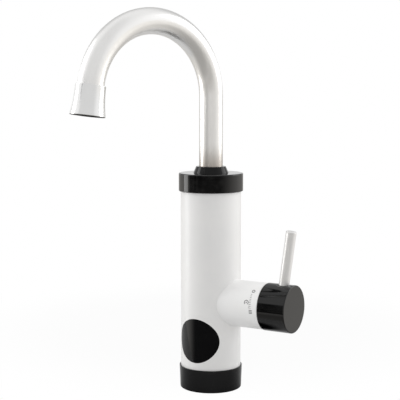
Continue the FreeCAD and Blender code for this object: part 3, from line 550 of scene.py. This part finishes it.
@dataclass(frozen=True)
class TubeMetal(WorkedMetal):
    """Satin gooseneck with a painted reflection of the black collar, a little darker just above its
    collar.
    """

    painted_reflection: Colour = (0.50, 0.465, 0.43, 1.0)
    painted_reflection_fade: Pair = (248.0 * MM, 221.0 * MM)

    def surface(self, sheet: NodeSheet) -> dict[str, Any]:
        """Worked metal, darker just above the collar by a painted reflection.

        Args:
            sheet: Sheet to draw on.

        Returns:
            Socket values.
        """
        sockets = super().surface(sheet)
        # Painted reflection: the base colour darkens towards the collar, standing in for the
        # collar's dark reflection.
        shade = sheet.place().part("Z").step(*self.painted_reflection_fade)
        sockets["Base Color"] = sheet.mix(shade, sockets["Base Color"], self.painted_reflection)
        return sockets


@dataclass(frozen=True)
class OutletMetal(WorkedMetal):
    """Turned outlet with painted shade: black in its opening (out from its axis) and on its end
    face (along it).
    """

    mouth_painted_shade: Colour = (0.010, 0.010, 0.010, 1.0)
    painted_shade_rough: float = 0.5
    painted_shade_wall: Pair = (12.4 * MM, 12.3 * MM)
    end_face_painted_shade: Pair = (27.85 * MM, 28.06 * MM)

    def surface(self, sheet: NodeSheet) -> dict[str, Any]:
        """Worked metal with painted shade in its opening and on its end face.

        Args:
            sheet: Sheet to draw on.

        Returns:
            Socket values.
        """
        sockets = super().surface(sheet)
        place = sheet.place()
        lift, drop = (
            sheet.along(place, way) - AXES.outlet_mid().dot(Vector(way))
            for way in (AXES.outlet_lift(), AXES.outlet_way())
        )
        out = lift.long_side(sheet.along(place, AXES.spout_side()))
        # Painted shade: the inner wall and the end face are made black and not metal, standing in
        # for the shade in the opening and at the outlet's end.
        black = out.step(*self.painted_shade_wall).at_least(drop.step(*self.end_face_painted_shade))
        sockets["Base Color"] = sheet.mix(black, sockets["Base Color"], self.mouth_painted_shade)
        sockets["Metallic"] = self.metal * (1.0 - black)
        sockets["Roughness"] = sockets["Roughness"].toward(self.painted_shade_rough, black)
        return sockets


@dataclass(frozen=True)
class Moulding(Finish):
    """Plain moulded plastic, rubber or fired piece with a fine skin grain."""

    name: str = "moulding"
    main: Colour = (0.03, 0.03, 0.03, 1.0)
    fleck: Colour = (0.05, 0.05, 0.05, 1.0)
    fleck_span: Pair = (0.45, 0.75)
    fleck_share: float = 0.6
    cloud_scale: float = 90.0
    cloud_share: float = 0.3
    cloud_rough: float = 0.12
    grain_scale: float = 1800.0
    grain_depth: float = 0.015 * MM
    grain_rough: float = 0.08
    roughness: float = 0.5

    def surface(self, sheet: NodeSheet) -> dict[str, Any]:
        """Grained skin with a slight change of tone.

        Args:
            sheet: Sheet to draw on.

        Returns:
            Socket values.
        """
        place = sheet.place()
        grain = sheet.noise(place, self.grain_scale)
        cloud = sheet.noise(place, self.cloud_scale, 3.0)
        flecks = grain.step(*self.fleck_span) * self.fleck_share + cloud * self.cloud_share
        uneven = self.cloud_rough * (cloud - 0.5) + self.grain_rough * (grain - 0.5)
        return {
            "Base Color": sheet.mix(flecks, self.main, self.fleck),
            "Roughness": self.roughness + uneven,
            "Normal": sheet.bump(grain, self.grain_depth),
        }


@dataclass(frozen=True)
class BoardGreen(Finish):
    """Glass epoxy board with copper tracks under green lacquer."""

    name: str = "board_green"
    lacquer: Colour = (0.02, 0.13, 0.05, 1.0)
    track: Colour = (0.05, 0.24, 0.09, 1.0)
    track_scale: float = 260.0
    track_edge: Pair = (0.16, 0.10)
    pad: Colour = (0.72, 0.72, 0.70, 1.0)
    pad_scale: float = 300.0
    pad_edge: Pair = (0.22, 0.16)
    pad_rough: float = 0.1
    roughness: float = 0.3
    copper_depth: float = 0.05 * MM

    def surface(self, sheet: NodeSheet) -> dict[str, Any]:
        """Tracks and tinned pads.

        Args:
            sheet: Sheet to draw on.

        Returns:
            Socket values.
        """
        track = self._cells(sheet, "DISTANCE_TO_EDGE", self.track_scale).step(*self.track_edge)
        pad = self._cells(sheet, "F1", self.pad_scale).step(*self.pad_edge)
        return {
            "Base Color": sheet.mix(pad, sheet.mix(track, self.lacquer, self.track), self.pad),
            "Metallic": pad,
            "Roughness": self.roughness + self.pad_rough * pad,
            "Normal": sheet.bump((track + pad) * 0.5, self.copper_depth, 0.7),
        }

    def _cells(self, sheet: NodeSheet, feature: str, scale: float) -> Wire:
        """Cells on the flat of the board.

        Args:
            sheet: Sheet to draw on.
            feature: What is measured in each cell.
            scale: Cells per metre.

        Returns:
            The distance.
        """
        place = sheet.place()
        flat = sheet.join(place.part("X"), place.part("Z"), 0.0)
        sockets = {"Vector": flat, "Scale": scale}
        return sheet.node("ShaderNodeTexVoronoi", {"feature": feature}, sockets, out="Distance")


@dataclass(frozen=True)
class CapsuleGlass(Finish):
    """Slightly green sealing glass."""

    name: str = "capsule_glass"
    tint: Colour = (0.78, 0.92, 0.86, 1.0)
    pale: Colour = (0.86, 0.95, 0.90, 1.0)
    drawn_scale: float = 600.0
    drawn_depth: float = 0.01 * MM
    drawn_rough: float = 0.04
    roughness: float = 0.03
    clear: float = 0.9
    ior: float = 1.5

    def surface(self, sheet: NodeSheet) -> dict[str, Any]:
        """Clear glass with a drawn, faintly uneven skin.

        Args:
            sheet: Sheet to draw on.

        Returns:
            Socket values.
        """
        drawn = sheet.noise(AXES.lines(sheet, Lay.UPRIGHT), self.drawn_scale)
        return {
            "Base Color": sheet.mix(drawn, self.tint, self.pale),
            "Roughness": self.roughness + self.drawn_rough * drawn,
            "Transmission Weight": self.clear,
            "IOR": self.ior,
            "Normal": sheet.bump(drawn, self.drawn_depth, 0.5),
        }


@dataclass(frozen=True)
class PrintInk(Finish):
    """Grey pad-printed ink, thin in places."""

    name: str = "print_ink"
    ink: Colour = (0.19, 0.19, 0.195, 1.0)
    thin: Colour = (0.32, 0.32, 0.32, 1.0)
    thin_span: Pair = (0.3, 0.7)
    cover_scale: float = 1900.0
    cover_depth: float = 0.006 * MM
    cover_rough: float = 0.16
    roughness: float = 0.42

    def surface(self, sheet: NodeSheet) -> dict[str, Any]:
        """Ink with an uneven cover.

        Args:
            sheet: Sheet to draw on.

        Returns:
            Socket values.
        """
        cover = sheet.noise(sheet.place(), self.cover_scale, 3.0)
        return {
            "Base Color": sheet.mix(cover.step(*self.thin_span), self.ink, self.thin),
            "Roughness": self.roughness + self.cover_rough * cover,
            "Normal": sheet.bump(cover, self.cover_depth, 0.5),
        }


# Finishes of the pieces that show, then of those inside.
SHELL = ShellWhite()
TRIM = GlossBlack()
FOOT = GlossBlack(name="gloss_black_foot", shine=0.25)
COLLAR = GlossBlack(name="gloss_black_collar", shine=0.22, polish=0.09)
KNOB = GlossBlack(name="gloss_black_knob", lay=Lay.ARM, shine=0.4)
LENS = GlossBlack(
    name="lens_black", deep=(0.0046, 0.0046, 0.0049, 1.0), polish=0.025, dusting=0.2
)
TUBE = TubeMetal(
    name="satin_tube",
    lay=Lay.GOOSENECK,
    bright=(0.95, 0.945, 0.935, 1.0),
    dull=(0.82, 0.815, 0.805, 1.0),
    roughness=0.30,
    spread=0.05,
)
PIN = WorkedMetal(
    name="satin_pin",
    lay=Lay.PIN,
    bright=(0.88, 0.875, 0.868, 1.0),
    dull=(0.78, 0.775, 0.768, 1.0),
    roughness=0.34,
    spread=0.12,
    metal=0.62,
)
OUTLET = OutletMetal(
    name="outlet_chrome",
    lay=Lay.OUTLET,
    bright=(0.87, 0.87, 0.865, 1.0),
    dull=(0.79, 0.79, 0.785, 1.0),
    roughness=0.18,
    line_scale=3600.0,
)
STEEL = WorkedMetal(
    name="plain_steel", bright=(0.66, 0.66, 0.66, 1.0), dull=(0.56, 0.56, 0.55, 1.0), roughness=0.32
)
BRASS = WorkedMetal(
    name="turned_brass",
    lay=Lay.ARM,
    bright=(0.80, 0.62, 0.30, 1.0),
    dull=(0.68, 0.50, 0.23, 1.0),
    roughness=0.28,
)
FITTING = WorkedMetal(
    name="threaded_brass",
    bright=(0.80, 0.62, 0.30, 1.0),
    dull=(0.66, 0.49, 0.22, 1.0),
    roughness=0.27,
    thread_pitch=1.814 * MM,
)
MOULDED = Moulding(
    name="moulded_black", main=(0.020, 0.020, 0.021, 1.0), fleck=(0.040, 0.040, 0.041, 1.0)
)
FILLED = Moulding(
    name="filled_grey",
    main=(0.50, 0.50, 0.48, 1.0),
    fleck=(0.60, 0.60, 0.57, 1.0),
    roughness=0.46,
    grain_scale=2400.0,
)
RUBBER = Moulding(
    name="black_rubber",
    main=(0.022, 0.022, 0.022, 1.0),
    fleck=(0.034, 0.034, 0.033, 1.0),
    roughness=0.72,
    grain_scale=3000.0,
)
CERAMIC = Moulding(
    name="lapped_ceramic",
    main=(0.86, 0.85, 0.82, 1.0),
    fleck=(0.80, 0.79, 0.76, 1.0),
    roughness=0.2,
    grain_depth=0.002 * MM,
)
MAGNET = Moulding(
    name="sintered_magnet",
    main=(0.09, 0.09, 0.095, 1.0),
    fleck=(0.17, 0.17, 0.18, 1.0),
    roughness=0.55,
)
CASE = Moulding(
    name="component_case",
    main=(0.05, 0.055, 0.065, 1.0),
    fleck=(0.08, 0.085, 0.09, 1.0),
    roughness=0.42,
)
BOARD = BoardGreen()
GLASS = CapsuleGlass()
INK = PrintInk()

# A finish and the nodes that it goes on.
Coat = tuple[Finish, tuple[str, ...]]


def new_object(name: str, cells: bmesh.types.BMesh) -> bpy.types.Object:
    """Put a finished mesh into the scene.

    Args:
        name: Name of the object and of its mesh.
        cells: The mesh, freed here.

    Returns:
        The object.
    """
    mesh = bpy.data.meshes.new(name)
    cells.to_mesh(mesh)
    cells.free()
    made = bpy.data.objects.new(name, mesh)
    bpy.context.scene.collection.objects.link(made)
    return made


@dataclass
class Assembly:
    """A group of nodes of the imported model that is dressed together."""

    coats: tuple[Coat, ...]

    def build(self) -> list[bpy.types.Object]:
        """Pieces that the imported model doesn't have."""
        return []

    def dress(self) -> None:
        """Lay each node's finish and say so."""
        for finish, nodes in self.coats:
            for node in nodes:
                finish.lay_on(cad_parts[node])
                LOG.info("%s: %s", node, finish.name)


@dataclass(frozen=True)
class RingMark:
    """Printed ring, open ring or dot: place beside the ticks, radii and sweep in degrees."""

    along: float
    angle: float
    inner: float
    outer: float
    start: float = 0.0
    sweep: float = 360.0


@dataclass
class Housing(Assembly):
    """White housing with its black trim, window and the scale beside the knob."""

    coats: tuple[Coat, ...] = (
        (SHELL, ("body_shell",)),
        (FOOT, ("base_ring",)),
        (TRIM, ("top_cap",)),
        (LENS, ("display_window",)),
        (MOULDED, ("base_plate", "cable_gland", "gland_nut")),
        (RUBBER, ("foot_seal",)),
        (STEEL, ("base_screws",)),
        (FITTING, ("inlet_connector",)),
        (BRASS, ("inlet_locknut",)),
    )
    arm_r: float = 22.9 * MM
    lift: float = 0.03 * MM
    ink_depth: float = 0.08 * MM
    weld: float = 0.03 * MM
    scale_x: float = 56.4 * MM
    rings: tuple[RingMark, ...] = (
        RingMark(0.8 * MM, 47.0, 0.9 * MM, 1.8 * MM),
        RingMark(-3.8 * MM, 16.5, 1.6 * MM, 2.5 * MM, start=-50.0, sweep=280.0),
        RingMark(-3.8 * MM, 16.5, 0.0, 0.7 * MM),
    )
    ring_steps: int = 36
    dot_core: float = 0.01 * MM
    bars: int = 3
    bar_along: float = 1.0 * MM
    bar_low: float = -9.0
    bar_step: float = 3.5
    bar_length: float = 3.4 * MM
    bar_width: float = 0.85 * MM
    ticks: int = 9
    tick_low: float = 4.0
    tick_high: float = 38.0
    tick_long: float = 2.9 * MM
    tick_short: float = 1.3 * MM
    tick_width: float = 0.5 * MM

    def build(self) -> list[bpy.types.Object]:
        """Print the plain scale on the arm.

        Returns:
            The new piece.
        """
        cells = bmesh.new()
        for mark in self.rings:
            self._ring(cells, mark)
        for i in range(self.bars):
            spot = (self.scale_x + self.bar_along, self.bar_low + self.bar_step * i)
            self._bar(cells, spot, self.bar_length, self.bar_width)
        for i in range(self.ticks):
            share = i / (self.ticks - 1)
            angle = self.tick_low + (self.tick_high - self.tick_low) * share
            length = self.tick_long + (self.tick_short - self.tick_long) * share
            self._bar(cells, (self.scale_x, angle), length, self.tick_width)
        bmesh.ops.remove_doubles(cells, verts=cells.verts, dist=self.weld)
        piece = new_object("scale_marks", cells)
        thick = piece.modifiers.new("ink_depth", "SOLIDIFY")
        thick.thickness = self.ink_depth
        thick.offset = -1.0
        INK.lay_on(piece)
        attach(piece, "housing")
        return [piece]

    def _spot(self, middle: Pair, across: float, up: float) -> Vector:
        """Point on the arm.

        Args:
            middle: Middle of the mark, along the arm and in degrees above its front.
            across: Distance from the middle along the arm.
            up: Distance from the middle round the arm.

        Returns:
            The point.
        """
        x, angle = middle
        radius = self.arm_r + self.lift
        turn = math.radians(angle) + up / radius
        return Vector((x + across, -radius * math.cos(turn), AXES.arm_z + radius * math.sin(turn)))

    def _skin(self, cells: bmesh.types.BMesh, rows: list[list[Vector]]) -> None:
        """Skin rows of points with faces that look outward.

        Args:
            cells: Mesh to add to.
            rows: Equal rows of points.
        """
        made = [[cells.verts.new(spot) for spot in row] for row in rows]
        for low, high in zip(made, made[1:]):
            for i in range(len(low) - 1):
                face = cells.faces.new((low[i], low[i + 1], high[i + 1], high[i]))
                face.normal_update()
                middle = face.calc_center_median()
                if face.normal.dot(Vector((0.0, middle.y, middle.z - AXES.arm_z))) < 0:
                    face.normal_flip()

    def _ring(self, cells: bmesh.types.BMesh, mark: RingMark) -> None:
        """Print a dot, a ring or an open ring.

        Args:
            cells: Mesh to add to.
            mark: Its place and sizes.
        """
        middle = (self.scale_x + mark.along, mark.angle)
        rows = []
        for radius in (max(mark.inner, self.dot_core), (mark.inner + mark.outer) / 2, mark.outer):
            row = []
            for i in range(self.ring_steps + 1):
                turn = math.radians(mark.start + mark.sweep * i / self.ring_steps)
                row.append(self._spot(middle, radius * math.cos(turn), radius * math.sin(turn)))
            rows.append(row)
        self._skin(cells, rows)

    def _bar(self, cells: bmesh.types.BMesh, middle: Pair, length: float, width: float) -> None:
        """Print a short bar along the arm.

        Args:
            cells: Mesh to add to.
            middle: Middle of the bar, along the arm and in degrees above its front.
            length: Length along the arm.
            width: Width round the arm.
        """
        ups = (-width / 2, 0.0, width / 2)
        ends = (-length / 2, 0.0, length / 2)
        self._skin(cells, [[self._spot(middle, across, up) for across in ends] for up in ups])


@dataclass
class Spout(Assembly):
    """Swivelling gooseneck with its collar and outlet."""

    coats: tuple[Coat, ...] = (
        (COLLAR, ("spout_collar",)),
        (TUBE, ("spout_tube",)),
        (OUTLET, ("aerator_housing",)),
        (MOULDED, ("aerator_insert",)),
        (RUBBER, ("aerator_washer", "spout_o_rings")),
        (BRASS, ("spout_foot",)),
        (FILLED, ("slip_washer",)),
    )


@dataclass
class Handle(Assembly):
    """Knob with its pin lever and the stem that it turns."""

    coats: tuple[Coat, ...] = (
        (KNOB, ("knob",)),
        (PIN, ("lever_pin",)),
        (STEEL, ("grub_screw",)),
        (BRASS, ("valve_stem",)),
        (RUBBER, ("stem_o_ring",)),
        (CERAMIC, ("moving_disc",)),
    )


@dataclass
class Waterway(Assembly):
    """Inlet, flow switch, valve and heater inside the housing."""

    coats: tuple[Coat, ...] = (
        (RUBBER, ("inlet_seal", "cartridge_seal", "lid_seal")),
        (STEEL, ("inlet_filter", "piston_spring", "supply_tube")),
        (STEEL, ("heater_tank", "heating_coil", "temperature_sensor", "heater_tube")),
        (FILLED, ("flow_housing", "flow_cap", "flow_piston", "cartridge_body", "tank_lid")),
        (MAGNET, ("piston_magnet",)),
        (GLASS, ("reed_switch",)),
        (BRASS, ("valve_body", "valve_lock_ring", "cartridge_nut", "coil_nuts")),
        (CERAMIC, ("fixed_disc",)),
        (CASE, ("thermal_cutout",)),
    )
    spring_r: float = 4.4 * MM
    spring_wire: float = 0.45 * MM
    spring_low: float = 37.0 * MM
    spring_high: float = 51.0 * MM
    spring_turns: int = 5
    turn_steps: int = 28
    wire_sides: int = 10
    piston_travel: float = 5.2 * MM

    def build(self) -> list[bpy.types.Object]:
        """Wind the flow switch's spring at one fixed length; the real spring shortens as the piston
        lifts.

        Returns:
            The new piece.
        """
        steps = self.spring_turns * self.turn_steps
        cells = bmesh.new()
        rings = []
        for i in range(steps + 1):
            rings.append([cells.verts.new(spot) for spot in self._section(i / steps)])
        for low, high in zip(rings, rings[1:]):
            for i in range(self.wire_sides):
                j = (i + 1) % self.wire_sides
                cells.faces.new((low[i], low[j], high[j], high[i])).smooth = True
        cells.faces.new(rings[0])
        cells.faces.new(rings[-1])
        bmesh.ops.recalc_face_normals(cells, faces=cells.faces)
        piece = new_object("spring_coil", cells)
        STEEL.lay_on(piece)
        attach(piece, "housing")
        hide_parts("piston_spring")
        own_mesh(piece)
        return [piece]

    def _section(self, share: float) -> list[Vector]:
        """Round section of the spring's wire, square to its run.

        Args:
            share: How far along the wire, from 0 to 1.

        Returns:
            Points round the wire.
        """
        sweep = math.tau * self.spring_turns
        climb = self.spring_high - self.spring_low - 2.0 * self.spring_wire
        slope = climb / (sweep * self.spring_r)
        turn = sweep * share
        out = Vector((math.cos(turn), math.sin(turn), 0.0))
        run = Vector((-math.sin(turn), math.cos(turn), slope)).normalized()
        rise = out.cross(run)
        height = self.spring_low + self.spring_wire + climb * share
        middle = out * self.spring_r + Vector((0.0, 0.0, height))
        spots = []
        for i in range(self.wire_sides):
            angle = math.tau * i / self.wire_sides
            side = out * math.cos(angle) + rise * math.sin(angle)
            spots.append(middle + side * self.spring_wire)
        return spots


@dataclass
class Electronics(Assembly):
    """Display behind the window and the control board on the back wall."""

    coats: tuple[Coat, ...] = (
        (RUBBER, ("window_gasket",)),
        (MOULDED, ("display_carrier",)),
        (BOARD, ("display_board", "control_board")),
        (CASE, ("display_digits", "power_relay", "terminal_block")),
        (STEEL, ("carrier_screws", "board_screws")),
    )


@dataclass(frozen=True)
class Panel:
    """One soft box; its place is to the camera's right, away from the camera and up."""

    name: str
    place: Point
    width: float
    tall: float
    level: float
    mirrored: bool = True


@dataclass(frozen=True)
class Patch:
    """Soft-edged patch of the room that polished pieces mirror.

    Its turns are degrees from the camera's side, positive to the right, and its rises are the
    heights of directions of length 1. Each span holds where the patch starts, is full, is still
    full and ends.
    """

    turns: Span
    rises: Span

    def mask(self, turn: Wire, rise: Wire) -> Wire:
        """Share, from 0 to 1, of a direction that the patch takes."""
        return turn.within(self.turns) * rise.within(self.rises)


@dataclass(frozen=True)
class Slit:
    """Narrow dark gap between two screens, bowed away from its middle height."""

    turn: float = -57.9
    half: Pair = (2.4, 1.4)
    bow: float = 17.0
    middle: float = 0.02
    rises: Span = (-0.28, -0.20, 0.33, 0.40)

    def mask(self, turn: Wire, rise: Wire) -> Wire:
        """Share, from 0 to 1, of a direction that the slit takes."""
        aside = turn - self.turn + (rise - self.middle) * (rise - self.middle) * self.bow
        return aside.size().step(*self.half) * rise.within(self.rises)


@dataclass
class Studio:
    """White studio: camera, floor, soft boxes and the room that polished pieces mirror."""

    azimuth: float = math.radians(30.6)
    distance: float = 1077.13 * MM
    height: float = 300.74 * MM
    pitch: float = math.radians(5.93)
    yaw: float = math.radians(0.579)
    focal_px: float = 1087.16
    frame_px: float = 400.0
    sensor: float = 36.0
    clip_near: float = 0.01

    panels: tuple[Panel, ...] = (
        Panel("soft_box_left", (-1.25, 0.22, 0.50), width=0.50, tall=1.50, level=2.5),
        Panel("soft_box_right", (1.25, 0.40, 0.70), width=0.80, tall=1.10, level=1.8),
        Panel("soft_box_top", (0.0, 0.15, 1.70), width=1.40, tall=1.40, level=0.64, mirrored=False),
    )
    panel_aim: float = 0.18

    front_turns: Span = (-60.0, -50.0, 40.0, 72.0)
    front_level: float = 0.78
    horizon_rises: Pair = (0.02, -0.04)
    horizon_level: float = 0.98
    over_rises: Pair = (0.62, 0.85)
    over_level: float = 0.92
    dusk: Patch = Patch((-74.0, -64.0, 24.0, 95.0), (-0.45, -0.33, -0.065, -0.05))
    dusk_level: float = 0.88
    strip: Patch = Patch((-50.0, -44.0, -36.0, -28.0), (-0.11, -0.06, 0.09, 0.13))
    strip_level: float = 0.25
    wing: Patch = Patch((-92.0, -88.0, -66.0, -62.0), (-0.075, -0.06, 0.02, 0.05))
    wing_level: float = 1.4
    foot_gap: Patch = Patch((-98.0, -60.0, 24.0, 95.0), (-0.30, -0.28, -0.205, -0.19))
    cap_gap: Patch = Patch((-92.0, -78.0, 24.0, 95.0), (-0.112, -0.101, -0.077, -0.067))
    slit: Slit = Slit()
    dark_level: float = 0.03
    back_turns: Pair = (110.0, 145.0)
    back_rises: Pair = (0.92, 0.60)
    back_level: float = 0.58
    shelf_rises: Span = (0.0, 0.05, 0.16, 0.24)
    shelf_level: float = 1.0
    below_rises: Pair = (-0.30, -0.48)
    below_side: float = 0.72
    below_turns: Pair = (100.0, 50.0)
    below_front: float = 0.38
    warm: Colour = (1.0, 0.972, 0.925, 1.0)
    warm_rises: Pair = (0.10, -0.06)

    fill: float = 1.19
    fill_tilt: float = 0.12
    fill_front: float = 0.64
    fill_front_turns: Pair = (115.0, 55.0)
    fill_back: float = 0.55
    fill_back_turns: Pair = (115.0, 160.0)
    fill_below: float = 0.90
    fill_below_rises: Pair = (0.35, -0.35)

    floor_dark: Colour = (0.52, 0.52, 0.52, 1.0)
    floor_pale: Colour = (0.58, 0.58, 0.58, 1.0)
    floor_cloud: float = 9.0
    floor_rough: float = 0.9
    floor_level: float = 0.93
    floor_reach: float = 0.36
    floor_sides: int = 64
    floor_back: float = 0.27
    floor_drop: float = 0.3 * MM
    floor_rim: Pair = (144.0 * MM, 345.6 * MM)
    floor_hole: Pair = (27.0 * MM, 26.46 * MM)
    shadow_fade: Pair = (58.0 * MM, 38.0 * MM)
    shadow_slant: Pair = (0.45, 0.25)

    def right(self) -> Vector:
        """Level direction to the camera's right."""
        return Vector((math.cos(self.azimuth), math.sin(self.azimuth), 0.0))

    def ahead(self) -> Vector:
        """Level direction away from the camera."""
        return Vector((-math.sin(self.azimuth), math.cos(self.azimuth), 0.0))

    def build(self) -> None:
        """Set up camera, floor, lamps and world."""
        bpy.context.scene.view_settings.view_transform = "Standard"
        self._camera()
        self._floor()
        for panel in self.panels:
            self._lamp(panel)
        self._world()

    def _camera(self) -> None:
        """Camera at the photograph's place, aim and lens."""
        aim = self.ahead() * math.cos(self.yaw) - self.right() * math.sin(self.yaw)
        side = self.right() * math.cos(self.yaw) + self.ahead() * math.sin(self.yaw)
        rise = Vector((0.0, 0.0, 1.0))
        look = aim * math.cos(self.pitch) - rise * math.sin(self.pitch)
        top = aim * math.sin(self.pitch) + rise * math.cos(self.pitch)
        spot = self.ahead() * -self.distance + rise * self.height
        lens = bpy.data.cameras.new("camera")
        lens.sensor_width = self.sensor
        lens.lens = self.focal_px * self.sensor / self.frame_px
        lens.clip_start = self.clip_near
        camera = bpy.data.objects.new("camera", lens)
        columns = Matrix((side, top, -look)).transposed()
        camera.matrix_world = Matrix.Translation(spot) @ columns.to_4x4()
        bpy.context.scene.collection.objects.link(camera)
        bpy.context.scene.camera = camera

    def _floor(self) -> None:
        """Pale round floor under the tap."""
        cells = bmesh.new()
        bmesh.ops.create_circle(
            cells, cap_ends=True, segments=self.floor_sides, radius=self.floor_reach
        )
        floor = new_object("floor", cells)
        floor.location = self.ahead() * self.floor_back - Vector((0.0, 0.0, self.floor_drop))
        material = bpy.data.materials.new("floor_white")
        material.use_nodes = True
        self._floor_finish(NodeSheet(material.node_tree))
        floor.data.materials.append(material)

    def _floor_finish(self, sheet: NodeSheet) -> None:
        """White to the camera with a faint shadow, clear from beneath and under the inlet.

        Args:
            sheet: Sheet to draw on.
        """
        cloud = sheet.noise(sheet.place(), self.floor_cloud, 3.0)
        sockets = {
            "Base Color": sheet.mix(cloud, self.floor_dark, self.floor_pale),
            "Roughness": self.floor_rough,
            "Specular IOR Level": 0.0,
        }
        matt = sheet.node("ShaderNodeBsdfPrincipled", sockets=sockets, out="BSDF")
        white = sheet.node("ShaderNodeEmission", sockets={"Strength": 1.0})
        night = sheet.node("ShaderNodeEmission", sockets={"Strength": 0.0})
        clear = sheet.node("ShaderNodeBsdfTransparent")
        seen = sheet.node("ShaderNodeLightPath", out="Is Camera Ray")
        rim = sheet.place().off_axis().step(*self.floor_rim)
        pale = seen * (self.floor_level + (1.0 - self.floor_level) * rim)
        spot = sheet.node("ShaderNodeNewGeometry", out="Position")
        from_tap = spot.off_axis()
        slant = sheet.node("ShaderNodeLayerWeight", sockets={"Blend": 0.5}, out="Facing")
        shade = seen.other("Is Glossy Ray") * from_tap.step(*self.shadow_fade)
        shade = shade * slant.step(*self.shadow_slant)
        hole = spot.other("Backfacing").at_least(from_tap.step(*self.floor_hole))
        surface = matt
        for share, cover in ((pale, white), (shade, night), (hole, clear)):
            surface = sheet.node("ShaderNodeMixShader", sockets={0: share, 1: surface, 2: cover})
        sheet.node("ShaderNodeOutputMaterial", sockets={"Surface": surface})

    def _lamp(self, panel: Panel) -> None:
        """Soft box that faces the middle of the tap.

        Args:
            panel: Its place, size and level.
        """
        light = bpy.data.lights.new(panel.name, "AREA")
        light.shape = "RECTANGLE"
        light.size = panel.width
        light.size_y = panel.tall
        light.energy = panel.level * math.pi * panel.width * panel.tall
        lamp = bpy.data.objects.new(panel.name, light)
        lamp.visible_glossy = panel.mirrored
        right, back, height = panel.place
        spot = self.right() * right + self.ahead() * back + Vector((0.0, 0.0, height))
        lamp.location = spot
        target = Vector((0.0, 0.0, self.panel_aim))
        lamp.rotation_euler = (target - spot).to_track_quat("-Z", "Y").to_euler()
        bpy.context.scene.collection.objects.link(lamp)

    def _mirrored(self, turn: Wire, rise: Wire) -> Wire:
        """Level of the room that polished pieces mirror.

        Args:
            turn: Degrees from the camera's side, positive to the right.
            rise: Height of the direction.

        Returns:
            The level.
        """
        aside = turn.size()
        horizon = (self.horizon_level - self.front_level) * rise.step(*self.horizon_rises)
        front = turn.within(self.front_turns) * (1.0 - self.front_level - horizon)
        over = rise.step(*self.over_rises) * (1.0 - self.over_level)
        room = (1.0 - front).at_most(1.0 - over)
        room = room.toward(self.dusk_level, self.dusk.mask(turn, rise))
        room = room.toward(self.strip_level, self.strip.mask(turn, rise))
        room = room.toward(self.wing_level, self.wing.mask(turn, rise))
        dark = self.slit.mask(turn, rise)
        for gap in (self.foot_gap, self.cap_gap):
            dark = dark.at_least(gap.mask(turn, rise))
        back = aside.step(*self.back_turns) * rise.step(*self.back_rises)
        below = rise.step(*self.below_rises)
        room = room.toward(self.dark_level, dark).toward(self.back_level, back)
        room = room.toward(self.shelf_level, back * rise.within(self.shelf_rises))
        room = room.toward(self.below_side, below)
        return room.toward(self.below_front, below * aside.step(*self.below_turns))

    def _soft(self, turn: Wire, rise: Wire, side: Wire) -> Wire:
        """Level of the even light on matt surfaces.

        Args:
            turn: Degrees from the camera's side, positive to the right.
            rise: Height of the direction.
            side: How far the direction points to the camera's right.

        Returns:
            The level.
        """
        aside = turn.size()
        near = aside.step(*self.fill_front_turns) * (1.0 - self.fill_front)
        far = aside.step(*self.fill_back_turns) * (1.0 - self.fill_back)
        under = rise.step(*self.fill_below_rises) * (1.0 - self.fill_below)
        return (1.0 - near - far) * (1.0 - under) * (self.fill + side * self.fill_tilt)

    def _world(self) -> None:
        """Surround that is white to the camera and lights matt and polished pieces apart."""
        world = bpy.data.worlds.new("studio")
        bpy.context.scene.world = world
        world.use_nodes = True
        sheet = NodeSheet(world.node_tree)
        seen = sheet.node("ShaderNodeLightPath", out="Is Camera Ray")
        mirror = seen.other("Is Glossy Ray").at_least(seen.other("Is Transmission Ray"))
        aim = sheet.node("ShaderNodeTexCoord", out="Generated")
        side = sheet.along(aim, tuple(self.right()))
        front = sheet.along(aim, tuple(-self.ahead()))
        turn = side.turn_from(front) * math.degrees(1.0)
        rise = aim.part("Z")
        soft = self._soft(turn, rise, side)
        level = mirror * self._mirrored(turn, rise) + (1.0 - mirror) * soft
        sockets = {
            "Color": sheet.mix(mirror * rise.step(*self.warm_rises), WHITE, self.warm),
            "Strength": seen + (1.0 - seen) * level,
        }
        shade = sheet.node("ShaderNodeBackground", sockets=sockets)
        sheet.node("ShaderNodeOutputWorld", sockets={"Surface": shade})


def main() -> None:
    """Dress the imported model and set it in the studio."""
    logging.basicConfig(level=logging.INFO, format="%(message)s")
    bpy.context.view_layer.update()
    for assembly in (Housing(), Spout(), Handle(), Waterway(), Electronics()):
        assembly.dress()
        for piece in assembly.build():
            LOG.info("%s: added to %s", piece.name, type(assembly).__name__)
    Studio().build()
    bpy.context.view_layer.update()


if __name__ == "__main__":
    main()
